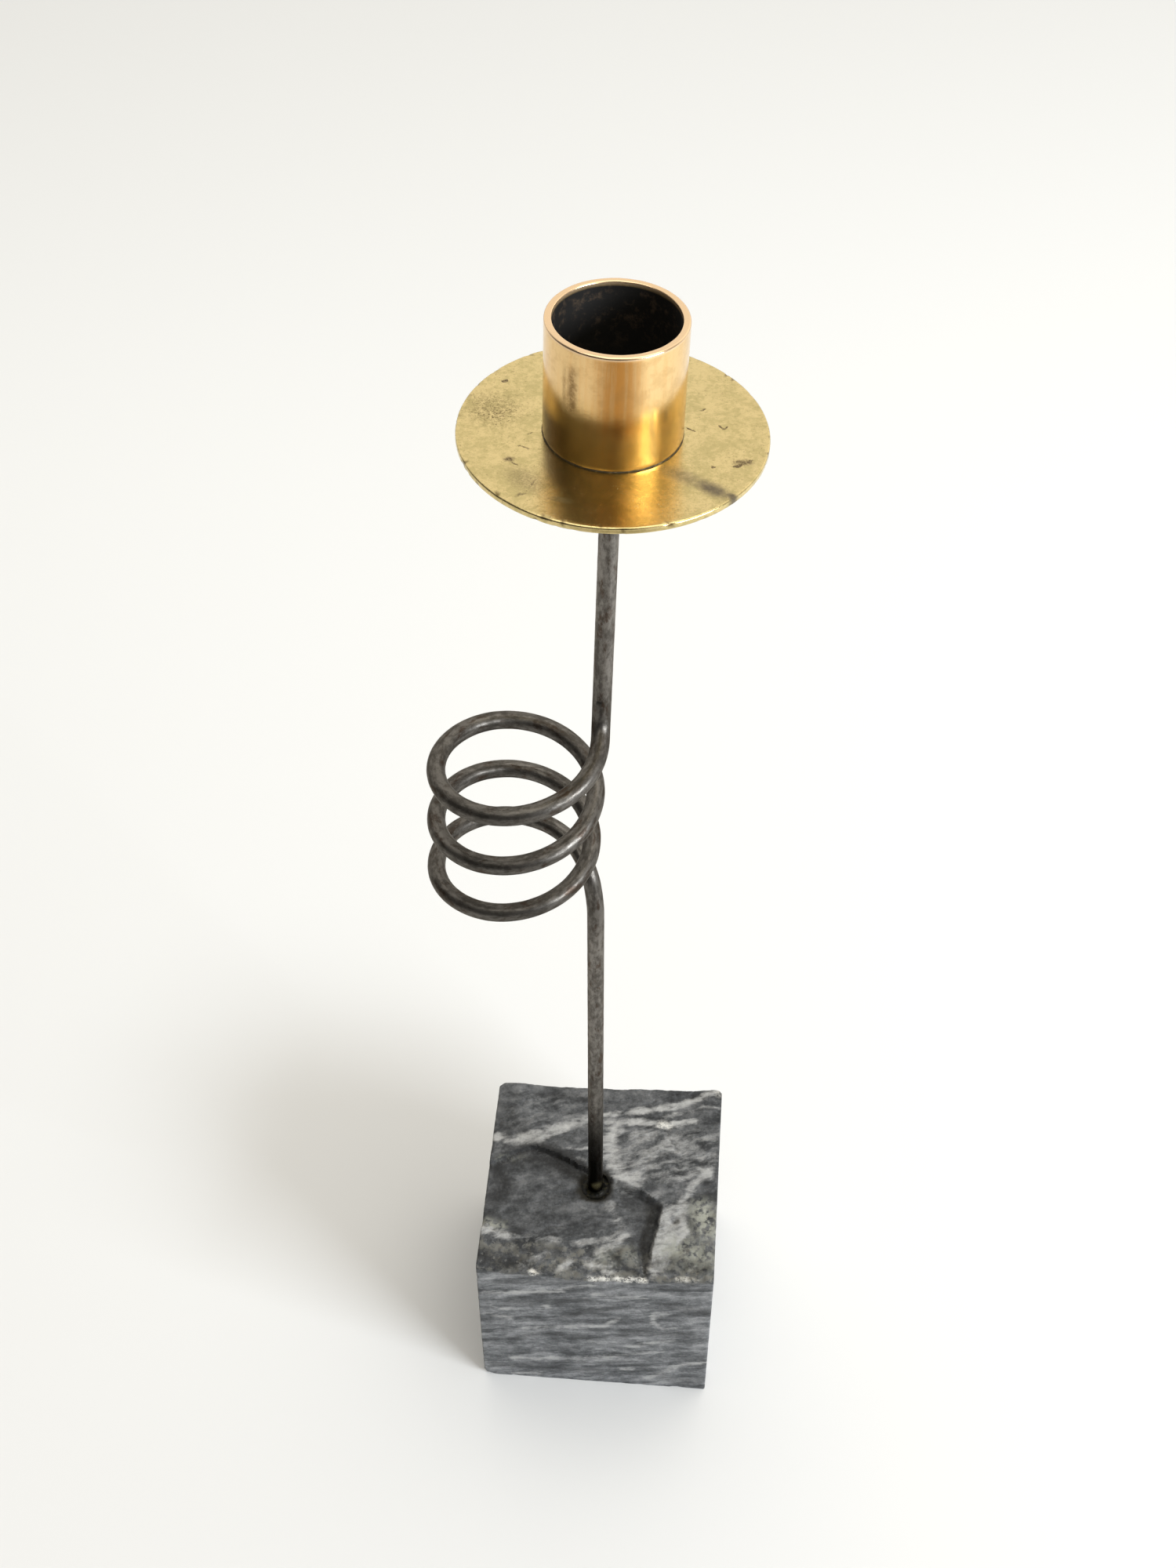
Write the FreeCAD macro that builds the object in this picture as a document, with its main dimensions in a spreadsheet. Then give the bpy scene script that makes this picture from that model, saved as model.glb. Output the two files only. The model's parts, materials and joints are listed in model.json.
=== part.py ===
"""Spiral candle holder: a brass candle cup and drip pan on a bent iron wire, set in a block of marble.

Lengths are in millimetres and angles in degrees. +Z is up, +X is to the right and +Y is away from the viewer.
The origin is the centre of the block's underside. Each driving size stands once, in the sheet named sizes.
"""

import FreeCAD, Part
import Sketcher

import math
import os

OUT = "parts"
FULL_TURN = 360.0
QUARTER_TURN = 90.0

# Numbers by which a sketch knows its own origin and axes.
LEVEL_AXIS_INDEX = -1
UPRIGHT_AXIS_INDEX = -2

# Driving sizes, from the table upwards.
SIZES = {
    # Marble block: sawn sides, a split top, and a shelf where the top layer broke away.
    "block_width": 60.3,
    "block_depth": 57.0,
    "block_height": 57.5,
    "split_relief": 2.0,
    "shelf_drop": 0.8,
    "corner_chamfer": 0.5,
    # Drilled hole, and the foot of the stem on its axis.
    "stem_right": -1.7,
    "stem_back": -1.9,
    "socket_clearance": 1.775,
    "socket_depth": 26.0,
    # Cured resin round the foot of the stem.
    "resin_floor": 1.5,
    "resin_sink": 1.5,
    "resin_creep": 1.0,
    "resin_creep_share": 0.6,
    # Stem: one length of wire.
    "wire_diameter": 3.85,
    "foot_straight": 111.9,
    "foot_bend_reach": 7.4,
    "foot_bend_rise": 14.2,
    "coil_radius_across": 16.3,
    "coil_radius_deep": 16.65,
    "coil_pitch": 14.93,
    "coil_entry_angle": 33.9,
    "coil_sweep_angle": 1030.6,
    "coil_drift": 0.8,
    "neck_bend_reach": 8.8,
    "neck_turn_angle": 11.0,
    "neck_bend_rise": 6.3,
    "neck_straight": 67.4,
    "lean_right_angle": 1.4,
    "lean_back_angle": 2.0,
    # Drip pan: a turned disc.
    "pan_diameter": 55.0,
    "pan_thickness": 1.3,
    "pan_edge_round": 0.4,
    # Candle cup: a cut length of tube.
    "cup_bore": 22.0,
    "cup_wall": 1.35,
    "cup_height": 22.7,
    "cup_lip_round": 0.4,
    "cup_mouth_chamfer": 0.3,
    # Solder under the cup and braze under the pan.
    "solder_film": 0.15,
    "solder_set_in": 0.3,
    "braze_leg": 1.6,
    # What a cutting solid runs past the piece that it cuts.
    "cut_overrun": 1.0,
}

# Most of a wall that a rounded or bevelled edge may take up, and the share of a size that counts as none.
EDGE_LIMIT_SHARE = 0.45
ROUND_OFF_SHARE = 1e-6

# Expressions that more than one piece uses.
WIRE_RADIUS = "sizes.wire_diameter / 2"
SOCKET_RADIUS = "(sizes.wire_diameter / 2 + sizes.socket_clearance)"
SOCKET_FLOOR = "sizes.block_height - sizes.socket_depth"
CUP_OUTSIDE = "sizes.cup_bore + 2 * sizes.cup_wall"

# Split top. Columns run left to right and rows front to back, as shares of the block's width and depth
# from its centre. Each height above the nominal top is a share of the split's relief.
SPLIT_COLUMN_SHARES = (-0.5, -0.4, -0.2, 0.0, 0.15, 0.23, 0.37, 0.45, 0.5)
SPLIT_ROW_SHARES = (-0.5, -0.3, -0.1, 0.1, 0.28, 0.5)
SPLIT_HEIGHT_SHARES = (
    (0.60, -0.20, -0.95, -1.00, -0.90, -0.40, 0.30, 0.95, 1.20),
    (0.20, -0.30, -0.30, -0.30, -0.20, 0.50, 0.70, 0.75, 0.70),
    (0.10, 0.30, 0.45, 0.45, 0.55, 0.65, 0.75, 0.65, 0.55),
    (0.00, 0.25, 0.40, 0.25, 0.40, 0.50, 0.65, 0.70, 0.60),
    (-0.20, 0.10, -0.10, 0.10, 0.30, 0.45, 0.60, 0.85, 0.80),
    (-0.50, 0.00, -0.70, 0.00, 0.35, 0.55, 0.65, 1.60, 1.30),
)

# Plan of the shelf, anticlockwise from its back left corner, as shares of the block's width and depth.
# It runs past the hole, and its outer edge lies beyond the block's left side.
SHELF_PLAN_SHARES = (
    (-0.54, 0.02),
    (-0.54, -0.27),
    (-0.41, -0.30),
    (0.16, -0.30),
    (0.21, -0.47),
    (0.24, -0.25),
    (0.26, -0.13),
    (0.19, -0.08),
    (0.10, -0.03),
    (-0.12, 0.06),
    (-0.20, 0.11),
    (-0.30, 0.15),
    (-0.40, 0.11),
)


def make_sheet(doc):
    """The sheet of driving sizes: a name in column A, and its value in column B under the same alias."""
    sheet = doc.addObject("Spreadsheet::Sheet", "sizes")
    for row, (name, value) in enumerate(SIZES.items(), start=1):
        sheet.set(f"A{row}", name)
        sheet.set(f"B{row}", str(value))
        sheet.setAlias(f"B{row}", name)
    doc.recompute()
    return sheet


def bind(thing, **expressions):
    """Tie properties of an object to expressions of the sheet. A double underscore stands for a dot."""
    for name, expression in expressions.items():
        thing.setExpression(name.replace("__", "."), expression)


def new_body(doc, name):
    """An empty body whose label is the piece's name."""
    body = doc.addObject("PartDesign::Body", name)
    body.Label = name
    return body


def new_sketch(body, role):
    """An empty sketch on the origin plane of the body that has the given role."""
    sketch = body.newObject("Sketcher::SketchObject", f"{body.Name}_sketch")
    plane = next(item for item in body.Origin.OriginFeatures if item.Role == role)
    sketch.AttachmentSupport = [(plane, "")]
    sketch.MapMode = "FlatFace"
    return sketch


def draw_circles(sketch, diameters):
    """Circles about the sketch's origin, with their diameters tied to expressions."""
    for number, expression in enumerate(diameters):
        radius = float(sketch.evalExpression(expression)) / 2
        circle = sketch.addGeometry(Part.Circle(FreeCAD.Vector(), FreeCAD.Vector(0, 0, 1), radius))
        sketch.addConstraint(Sketcher.Constraint("Coincident", circle, 3, LEVEL_AXIS_INDEX, 1))
        tie = sketch.addConstraint(Sketcher.Constraint("Diameter", circle, 2 * radius))
        sketch.renameConstraint(tie, f"diameter_{number}")
        sketch.setExpression(f".Constraints.diameter_{number}", expression)


def draw_outline(sketch, corners):
    """A closed outline of straight lines through corners, each a pair of expressions for right and up."""
    values = [[float(sketch.evalExpression(part)) for part in corner] for corner in corners]
    places = [FreeCAD.Vector(right, up, 0) for right, up in values]
    for number, place in enumerate(places):
        after = places[(number + 1) % len(places)]
        sketch.addGeometry(Part.LineSegment(place, after))
    axes = (UPRIGHT_AXIS_INDEX, LEVEL_AXIS_INDEX)
    for number, corner in enumerate(corners):
        following = (number + 1) % len(corners)
        sketch.addConstraint(Sketcher.Constraint("Coincident", number, 2, following, 1))
        for kind, part, value, axis in zip(("DistanceX", "DistanceY"), corner, values[number], axes):
            if part == "0":
                sketch.addConstraint(Sketcher.Constraint("PointOnObject", number, 1, axis))
                continue
            tie = sketch.addConstraint(Sketcher.Constraint(kind, LEVEL_AXIS_INDEX, 1, number, 1, value))
            sketch.renameConstraint(tie, f"{kind}_{number}")
            sketch.setExpression(f".Constraints.{kind}_{number}", part)


def pad(body, sketch, length):
    """Raise a sketch into a solid of the given length."""
    feature = body.newObject("PartDesign::Pad", f"{body.Name}_pad")
    feature.Profile = sketch
    bind(feature, Length=length)
    sketch.Visibility = False
    body.Document.recompute()
    return feature


def revolve(body, sketch):
    """Turn a sketch once round its own upright axis."""
    feature = body.newObject("PartDesign::Revolution", f"{body.Name}_turned")
    feature.Profile = sketch
    feature.ReferenceAxis = (sketch, ["V_Axis"])
    feature.Angle = FULL_TURN
    sketch.Visibility = False
    body.Document.recompute()
    return feature


def circle_edges(feature, radius, height):
    """Names of the round edges of a feature that have the given radius and lie at the given height."""
    found = []
    for number, edge in enumerate(feature.Shape.Edges, start=1):
        curve = edge.Curve
        round_edge = isinstance(curve, Part.Circle) and edge.isClosed()
        if not round_edge:
            continue
        same_radius = abs(curve.Radius - radius) < radius * ROUND_OFF_SHARE
        same_height = abs(curve.Center.z - height) < radius * ROUND_OFF_SHARE
        if same_radius and same_height:
            found.append(f"Edge{number}")
    return found


def dress(body, kind, base, edges, **expressions):
    """A fillet or chamfer on named edges of the feature that comes before it."""
    if not edges:
        raise ValueError(f"{body.Label}: no edge to dress")
    feature = body.newObject(f"PartDesign::{kind}", f"{body.Name}_{kind.lower()}")
    feature.Base = (base, edges)
    bind(feature, **expressions)
    body.Document.recompute()
    return feature


def edge_limit(edge, wall):
    """Expression for an edge's size, held to what its wall can bear."""
    return f"min(sizes.{edge}; sizes.{wall} * {EDGE_LIMIT_SHARE})"


def lean_way(size):
    """Unit vector along the upper straight of the stem, which leans a little right and back."""
    right = math.tan(math.radians(size("lean_right_angle")))
    back = math.tan(math.radians(size("lean_back_angle")))
    return FreeCAD.Vector(right, back, 1).normalize()


# Stone base


def make_sawn_block(doc):
    """The block before it is split: sawn a little too tall, with its upright corners eased."""
    body = new_body(doc, "sawn_block")
    sketch = new_sketch(body, "XY_Plane")
    right = "sizes.block_width / 2"
    back = "sizes.block_depth / 2"
    draw_outline(sketch, [(f"-{right}", f"-{back}"), (right, f"-{back}"), (right, back), (f"-{right}", back)])
    block = pad(body, sketch, "sizes.block_height + 2 * sizes.split_relief")
    upright = [
        f"Edge{number}"
        for number, edge in enumerate(block.Shape.Edges, start=1)
        if abs(edge.tangentAt(edge.FirstParameter).z) > 1 - ROUND_OFF_SHARE
    ]
    dress(body, "Chamfer", block, upright, Size="sizes.corner_chamfer")
    return body


def split_place(size, column_share, row_share, height_share):
    """A point of the split top from its shares, spread to run past the block's sides."""
    overrun = 2 * size("cut_overrun")
    return FreeCAD.Vector(
        column_share * (size("block_width") + overrun),
        row_share * (size("block_depth") + overrun),
        size("block_height") + height_share * size("split_relief"),
    )


def make_split_waste(doc, size):
    """The rough layer that was split off the top of the block, as one solid with a faceted underside."""
    grid = [
        [split_place(size, column, row, height) for column, height in zip(SPLIT_COLUMN_SHARES, heights)]
        for row, heights in zip(SPLIT_ROW_SHARES, SPLIT_HEIGHT_SHARES)
    ]
    top = size("block_height") + 2 * size("split_relief") + size("cut_overrun")
    faces = []
    for near, far in zip(grid, grid[1:]):
        for a, b, c, d in zip(near, near[1:], far[1:], far):
            faces.append(Part.Face(Part.makePolygon([a, b, c, a])))
            faces.append(Part.Face(Part.makePolygon([a, c, d, a])))
    sides = (grid[0], [row[-1] for row in grid], grid[-1][::-1], [row[0] for row in grid[::-1]])
    lid = []
    for side in sides:
        first, last = (FreeCAD.Vector(end.x, end.y, top) for end in (side[0], side[-1]))
        faces.append(Part.Face(Part.makePolygon([*side, last, first, side[0]])))
        lid.append(first)
    faces.append(Part.Face(Part.makePolygon([*lid, lid[0]])))
    waste = doc.addObject("Part::Feature", "split_waste")
    waste.Shape = Part.Solid(Part.Shell(faces))
    return waste


def make_shelf_waste(doc, size):
    """The thin bed that broke away in front of the ledge, as an upright prism over the shelf."""
    floor = size("block_height") - size("shelf_drop")
    corners = [
        FreeCAD.Vector(x * size("block_width"), y * size("block_depth"), floor) for x, y in SHELF_PLAN_SHARES
    ]
    rise = size("shelf_drop") + 2 * size("split_relief") + size("cut_overrun")
    waste = doc.addObject("Part::Feature", "shelf_waste")
    waste.Shape = Part.Face(Part.makePolygon([*corners, corners[0]])).extrude(FreeCAD.Vector(0, 0, rise))
    return waste


def make_stone_base(doc, size):
    """The finished block: sawn, split on top, broken back to its shelf, and drilled for the stem."""
    drill = doc.addObject("Part::Cylinder", "socket_drill")
    bind(
        drill,
        Radius=SOCKET_RADIUS,
        Height="sizes.socket_depth + 2 * sizes.split_relief + sizes.cut_overrun",
        Placement__Base__x="sizes.stem_right",
        Placement__Base__y="sizes.stem_back",
        Placement__Base__z=SOCKET_FLOOR,
    )
    stone = make_sawn_block(doc)
    steps = (
        ("split_block", make_split_waste(doc, size)),
        ("shelved_block", make_shelf_waste(doc, size)),
        ("stone_base", drill),
    )
    for name, tool in steps:
        cut = doc.addObject("Part::Cut", name)
        cut.Base = stone
        cut.Tool = tool
        cut.Label = name
        doc.recompute()
        if cut.Shape.Volume >= stone.Shape.Volume:
            raise ValueError(f"{name}: nothing was cut away")
        stone = cut
    return stone


def make_socket_resin(doc):
    """The cured resin that fills the hole round and under the foot of the stem, and creeps up the wire."""
    body = new_body(doc, "socket_resin")
    sketch = new_sketch(body, "XZ_Plane")
    surface = "sizes.socket_depth - sizes.resin_sink"
    draw_outline(
        sketch,
        [
            ("0", "0"),
            (SOCKET_RADIUS, "0"),
            (SOCKET_RADIUS, surface),
            (f"{WIRE_RADIUS} + sizes.socket_clearance * sizes.resin_creep_share", surface),
            (WIRE_RADIUS, f"{surface} + sizes.resin_creep"),
            (WIRE_RADIUS, "sizes.resin_floor"),
            ("0", "sizes.resin_floor"),
        ],
    )
    revolve(body, sketch)
    bind(
        body,
        Placement__Base__x="sizes.stem_right",
        Placement__Base__y="sizes.stem_back",
        Placement__Base__z=SOCKET_FLOOR,
    )
    return body


# Spiral stem


def corner_arc(start, corner, end):
    """The arc that leaves start towards corner and reaches end from corner, with its radius."""
    middle = (start + end) * 0.5
    half_chord = (end - start).Length / 2
    side = (corner - start).Length
    depth = (corner - middle).Length
    rise = half_chord * (side - half_chord) / depth
    crown = middle + (corner - middle) * (rise / depth)
    return Part.Arc(start, crown, end).toShape(), half_chord * side / depth


def biarc(start, start_way, end, end_way):
    """Two arcs that join start to end and follow the given unit directions there."""
    span = end - start
    along = span.dot(start_way + end_way)
    closing = 2 * (1 - start_way.dot(end_way))
    reach = (math.sqrt(along * along + closing * span.dot(span)) - along) / closing
    first_corner = start + start_way * reach
    last_corner = end - end_way * reach
    meeting = (first_corner + last_corner) * 0.5
    return [corner_arc(start, first_corner, meeting), corner_arc(meeting, last_corner, end)]


class StemRoute:
    """Centre line of the wire, worked out from the sheet, from its foot in the hole to the top of the pan."""

    def __init__(self, size):
        self.size = size
        self.up = FreeCAD.Vector(0, 0, 1)
        self.lean = lean_way(size)
        line = FreeCAD.Vector(size("stem_right"), size("stem_back"), 0)
        floor = size("block_height") - size("socket_depth")
        self.foot = line + self.up * (floor + size("resin_floor"))
        self.foot_bend = line + self.up * (size("block_height") + size("foot_straight"))
        entry = math.radians(size("coil_entry_angle"))
        onward = FreeCAD.Vector(-math.sin(entry), math.cos(entry), 0)
        low_point = self.foot_bend + onward * size("foot_bend_reach") + self.up * size("foot_bend_rise")
        self.coil_centre = low_point - self.from_centre(entry)
        self.neck = self.neck_place()
        self.top = self.neck + self.lean * size("neck_straight")

    def from_centre(self, angle):
        """The step from the coil's centre line to the wire at an angle in radians, seen from above."""
        across = self.size("coil_radius_across") * math.cos(angle)
        deep = self.size("coil_radius_deep") * math.sin(angle)
        return FreeCAD.Vector(across, deep, 0)

    def coil_place(self, sweep):
        """A point of the coil, at a sweep in degrees from its lower end, and the wire's direction there."""
        angle = math.radians(self.size("coil_entry_angle") + sweep)
        turns = sweep / FULL_TURN
        climb = FreeCAD.Vector(self.size("coil_drift"), 0, self.size("coil_pitch"))
        place = self.coil_centre + self.from_centre(angle) + climb * turns
        around = FreeCAD.Vector(
            -self.size("coil_radius_across") * math.sin(angle),
            self.size("coil_radius_deep") * math.cos(angle),
            0,
        )
        way = around + climb / (2 * math.pi)
        return place, way.normalize()

    def neck_place(self):
        """Where the wire has left the coil and starts to run straight up to the pan."""
        place, way = self.coil_place(self.size("coil_sweep_angle"))
        heading = math.atan2(way.y, way.x) + math.radians(self.size("neck_turn_angle"))
        reach = self.size("neck_bend_reach")
        rise = self.size("neck_bend_rise")
        return place + FreeCAD.Vector(reach * math.cos(heading), reach * math.sin(heading), rise)

    def arcs(self):
        """All bends of the wire in order, each with its radius: foot bend, coil and neck bend."""
        sweep = self.size("coil_sweep_angle")
        steps = math.ceil(sweep / QUARTER_TURN)
        stations = [self.coil_place(sweep * step / steps) for step in range(steps + 1)]
        stations = [(self.foot_bend, self.up), *stations, (self.neck, self.lean)]
        bends = []
        for (start, start_way), (end, end_way) in zip(stations, stations[1:]):
            bends.extend(biarc(start, start_way, end, end_way))
        return bends

    def wire(self):
        """The whole centre line as one wire of straight runs and arcs."""
        foot = Part.LineSegment(self.foot, self.foot_bend).toShape()
        neck = Part.LineSegment(self.neck, self.top).toShape()
        return Part.Wire([foot, *(arc for arc, radius in self.arcs()), neck])


def least_gap(wire, diameter, apart):
    """Clear distance between stretches of the wire that lie further apart than a length along it."""
    points = wire.discretize(Distance=diameter / 2)
    skip = math.ceil(apart / points[0].distanceToPoint(points[1]))
    distances = (a.distanceToPoint(b) for i, a in enumerate(points) for b in points[i + skip:])
    return min(distances) - diameter


def make_spiral_stem(doc, size, route):
    """The bent wire: one round section led along the whole route."""
    wire = route.wire()
    diameter = size("wire_diameter")
    section = Part.Wire(Part.Circle(route.foot, route.up, diameter / 2).toShape())
    stem = doc.addObject("Part::Feature", "spiral_stem")
    stem.Label = "spiral_stem"
    stem.Shape = wire.makePipeShell([section], True, False)
    tightest = min(radius for arc, radius in route.arcs())
    gap = least_gap(wire, diameter, math.pi * size("coil_radius_across"))
    fill = stem.Shape.Volume / (math.pi * diameter * diameter / 4 * wire.Length)
    print(f"stem: {wire.Length:.1f} long, tightest bend {tightest:.2f}, least gap {gap:.2f}, fill {fill:.4f}")
    return stem


# Drip pan, candle cup and their bonds


def stand_on_stem(piece, route, distance):
    """Turn a piece to the stem's lean and seat it at a distance along the upper straight from the neck."""
    turn = FreeCAD.Rotation(route.up, route.lean)
    piece.Placement = FreeCAD.Placement(route.neck + route.lean * distance, turn)


def make_drip_pan(doc, size, route):
    """The round brass pan, pierced for the wire, whose end lies flush with the pan's top."""
    body = new_body(doc, "drip_pan")
    sketch = new_sketch(body, "XY_Plane")
    draw_circles(sketch, ("sizes.pan_diameter", "sizes.wire_diameter"))
    disc = pad(body, sketch, "sizes.pan_thickness")
    rim = size("pan_diameter") / 2
    edges = circle_edges(disc, rim, 0) + circle_edges(disc, rim, size("pan_thickness"))
    dress(body, "Fillet", disc, edges, Radius=edge_limit("pan_edge_round", "pan_thickness"))
    stand_on_stem(body, route, size("neck_straight") - size("pan_thickness"))
    return body


def make_pan_braze(doc, size, route):
    """The fillet of braze in the corner between the wire and the pan's underside."""
    body = new_body(doc, "pan_braze")
    sketch = new_sketch(body, "XZ_Plane")
    leg = "sizes.braze_leg"
    draw_outline(sketch, [(WIRE_RADIUS, "0"), (f"{WIRE_RADIUS} + {leg}", leg), (WIRE_RADIUS, leg)])
    revolve(body, sketch)
    stand_on_stem(body, route, size("neck_straight") - size("pan_thickness") - size("braze_leg"))
    return body


def make_cup_solder(doc, size, route):
    """The film of solder between the cup's cut end and the pan, drawn in a little from the cup's outside."""
    body = new_body(doc, "cup_solder")
    sketch = new_sketch(body, "XY_Plane")
    draw_circles(sketch, (f"{CUP_OUTSIDE} - 2 * sizes.solder_set_in", "sizes.cup_bore"))
    pad(body, sketch, "sizes.solder_film")
    stand_on_stem(body, route, size("neck_straight"))
    return body


def make_candle_cup(doc, size, route):
    """The tube that takes the candle, with a bevelled mouth and a rounded lip."""
    body = new_body(doc, "candle_cup")
    sketch = new_sketch(body, "XY_Plane")
    draw_circles(sketch, (CUP_OUTSIDE, "sizes.cup_bore"))
    tube = pad(body, sketch, "sizes.cup_height")
    height = size("cup_height")
    bore = size("cup_bore") / 2
    mouth = circle_edges(tube, bore, height)
    bevelled = dress(body, "Chamfer", tube, mouth, Size=edge_limit("cup_mouth_chamfer", "cup_wall"))
    lip = circle_edges(bevelled, bore + size("cup_wall"), height)
    dress(body, "Fillet", bevelled, lip, Radius=edge_limit("cup_lip_round", "cup_wall"))
    stand_on_stem(body, route, size("neck_straight") + size("solder_film"))
    return body


def check_document(doc, pieces):
    """Stop if an object failed, or if a piece has no valid solid."""
    for item in doc.Objects:
        if "Invalid" in item.State or "Error" in item.State:
            raise ValueError(f"{item.Name}: {item.State}")
    for piece in pieces:
        shape = piece.Shape
        if shape.isNull() or not shape.isValid() or not shape.Solids or shape.Volume <= 0:
            raise ValueError(f"{piece.Label}: no valid solid")


def main():
    """Build the holder, check it and write each piece to its own file."""
    os.makedirs(OUT, exist_ok=True)
    doc = FreeCAD.newDocument("spiral_candle_holder")
    sheet = make_sheet(doc)

    def size(name):
        return float(sheet.get(name))

    route = StemRoute(size)
    pieces = [
        make_stone_base(doc, size),
        make_socket_resin(doc),
        make_spiral_stem(doc, size, route),
        make_pan_braze(doc, size, route),
        make_drip_pan(doc, size, route),
        make_cup_solder(doc, size, route),
        make_candle_cup(doc, size, route),
    ]
    doc.recompute()
    check_document(doc, pieces)
    for piece in pieces:
        piece.Shape.exportStep(os.path.join(OUT, f"{piece.Label}.step"))
        box = piece.Shape.BoundBox
        low = f"({box.XMin:.2f}, {box.YMin:.2f}, {box.ZMin:.2f})"
        high = f"({box.XMax:.2f}, {box.YMax:.2f}, {box.ZMax:.2f})"
        print(f"{piece.Label}: volume {piece.Shape.Volume:.1f}, from {low} to {high}")


main()
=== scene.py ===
"""Looks of the spiral candle holder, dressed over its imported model.

Seven pieces stand for the seven nodes of the model: the marble block, the resin in its hole, the
wire with its spiral, the braze under the pan, the pan, the solder seam and the candle cup.
Sizes are in millimetres, and MM turns them into metres where they reach a mesh.
"""

import json
import logging
import math
from collections.abc import Callable, Sequence
from dataclasses import dataclass, field
from enum import Enum
from functools import reduce

import bmesh
import bpy
import numpy as np
from mathutils import Matrix, Vector, noise
from mathutils.bvhtree import BVHTree


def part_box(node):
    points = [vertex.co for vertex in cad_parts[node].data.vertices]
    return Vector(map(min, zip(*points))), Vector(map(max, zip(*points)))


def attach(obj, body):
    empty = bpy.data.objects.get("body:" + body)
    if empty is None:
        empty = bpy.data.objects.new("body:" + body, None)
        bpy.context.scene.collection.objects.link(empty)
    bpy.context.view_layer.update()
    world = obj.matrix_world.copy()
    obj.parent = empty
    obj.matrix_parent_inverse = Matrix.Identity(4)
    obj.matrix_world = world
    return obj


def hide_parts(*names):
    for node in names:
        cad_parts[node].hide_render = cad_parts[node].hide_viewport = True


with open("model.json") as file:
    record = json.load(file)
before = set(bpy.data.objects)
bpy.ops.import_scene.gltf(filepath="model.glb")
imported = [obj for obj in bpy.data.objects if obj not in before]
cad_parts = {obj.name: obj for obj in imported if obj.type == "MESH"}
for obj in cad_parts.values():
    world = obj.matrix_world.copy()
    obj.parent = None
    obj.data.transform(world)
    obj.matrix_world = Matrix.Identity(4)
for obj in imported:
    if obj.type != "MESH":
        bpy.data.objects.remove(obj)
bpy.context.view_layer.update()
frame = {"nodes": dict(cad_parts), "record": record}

MM = 0.001
ROOT_BODY = "root"
UP = Vector((0.0, 0.0, 1.0))
PLAN = np.array([1.0, 1.0, 0.0])
MERGE_DISTANCE = 0.002 * MM
SHARP_EDGE = math.radians(32)

# The sockets of a Mix node where it mixes colours.
MIX_FACTOR = 0
MIX_FIRST = 6
MIX_SECOND = 7
MIX_RESULT = 2

Triple = tuple[float, float, float]
Colour = Triple
Points = tuple[tuple[float, float], ...]

log = logging.getLogger("candle_holder")


@dataclass(frozen=True)
class SharedSizes:
    """The sizes that several pieces share: the wire, and what is stacked up on it."""

    foot: tuple[float, float] = (-1.7, -1.9)
    wire_radius: float = 1.925
    pan_thickness: float = 1.3
    film: float = 0.15
    cup_height: float = 22.7
    cup_bore_radius: float = 11.0


SHARED = SharedSizes()


# Edit mode and meshes


def take_up(piece: bpy.types.Object) -> None:
    """Deselect everything, then select one piece and make it the active one.

    Args:
        piece: The piece to work on next.
    """
    if bpy.context.object is not None and bpy.context.object.mode != "OBJECT":
        bpy.ops.object.mode_set(mode="OBJECT")
    bpy.ops.object.select_all(action="DESELECT")
    piece.select_set(True)
    bpy.context.view_layer.objects.active = piece


def open_up(piece: bpy.types.Object) -> None:
    """Take up a piece, enter edit mode and select all of it.

    Args:
        piece: The piece to work on next.
    """
    take_up(piece)
    bpy.ops.object.mode_set(mode="EDIT")
    bpy.ops.mesh.select_all(action="SELECT")


def pick_vertices(piece: bpy.types.Object, chosen: Callable[[Vector], bool]) -> None:
    """Select, in edit mode, the vertices that pass a test, and nothing else.

    Args:
        piece: A mesh in edit mode.
        chosen: Says of a vertex's place, in metres, whether to select it.
    """
    bpy.ops.mesh.select_mode(type="VERT")
    work = bmesh.from_edit_mesh(piece.data)
    for vertex in work.verts:
        vertex.select = chosen(vertex.co)
    work.select_flush(True)
    bmesh.update_edit_mesh(piece.data)


def pick_edges(piece: bpy.types.Object, chosen: Callable[[Vector, Vector], bool]) -> int:
    """Select, in edit mode, the edges whose two ends pass a test, and nothing else.

    Args:
        piece: A mesh in edit mode.
        chosen: Says of an edge's two ends, in metres, whether to select it.

    Returns:
        How many edges are selected.
    """
    bpy.ops.mesh.select_mode(type="EDGE")
    bpy.ops.mesh.select_all(action="DESELECT")
    work = bmesh.from_edit_mesh(piece.data)
    picked = [edge for edge in work.edges if chosen(edge.verts[0].co, edge.verts[1].co)]
    for edge in picked:
        edge.select = True
    bmesh.update_edit_mesh(piece.data)
    return len(picked)


def read_places(piece: bpy.types.Object) -> np.ndarray:
    """The vertices of a piece, in millimetres.

    Args:
        piece: A mesh in object mode.

    Returns:
        An array of one row of x, y and z for each vertex.
    """
    places = np.zeros(len(piece.data.vertices) * 3)
    piece.data.vertices.foreach_get("co", places)
    return places.reshape(-1, 3) / MM


def write_places(piece: bpy.types.Object, places: np.ndarray) -> None:
    """Move the vertices of a piece.

    Args:
        piece: A mesh in object mode.
        places: One row of x, y and z in millimetres for each vertex.
    """
    piece.data.vertices.foreach_set("co", (places * MM).ravel())
    piece.data.update()


def keep_values(piece: bpy.types.Object, name: str, values: np.ndarray) -> None:
    """Keep one number, or one place, for each vertex as an attribute that a finish can read.

    Args:
        piece: A mesh in object mode.
        name: The attribute's name.
        values: One number or one row of three for each vertex.
    """
    is_place = values.ndim == 2
    layer = piece.data.attributes.new(name, "FLOAT_VECTOR" if is_place else "FLOAT", "POINT")
    layer.data.foreach_set("vector" if is_place else "value", values.astype(np.float32).ravel())


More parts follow.
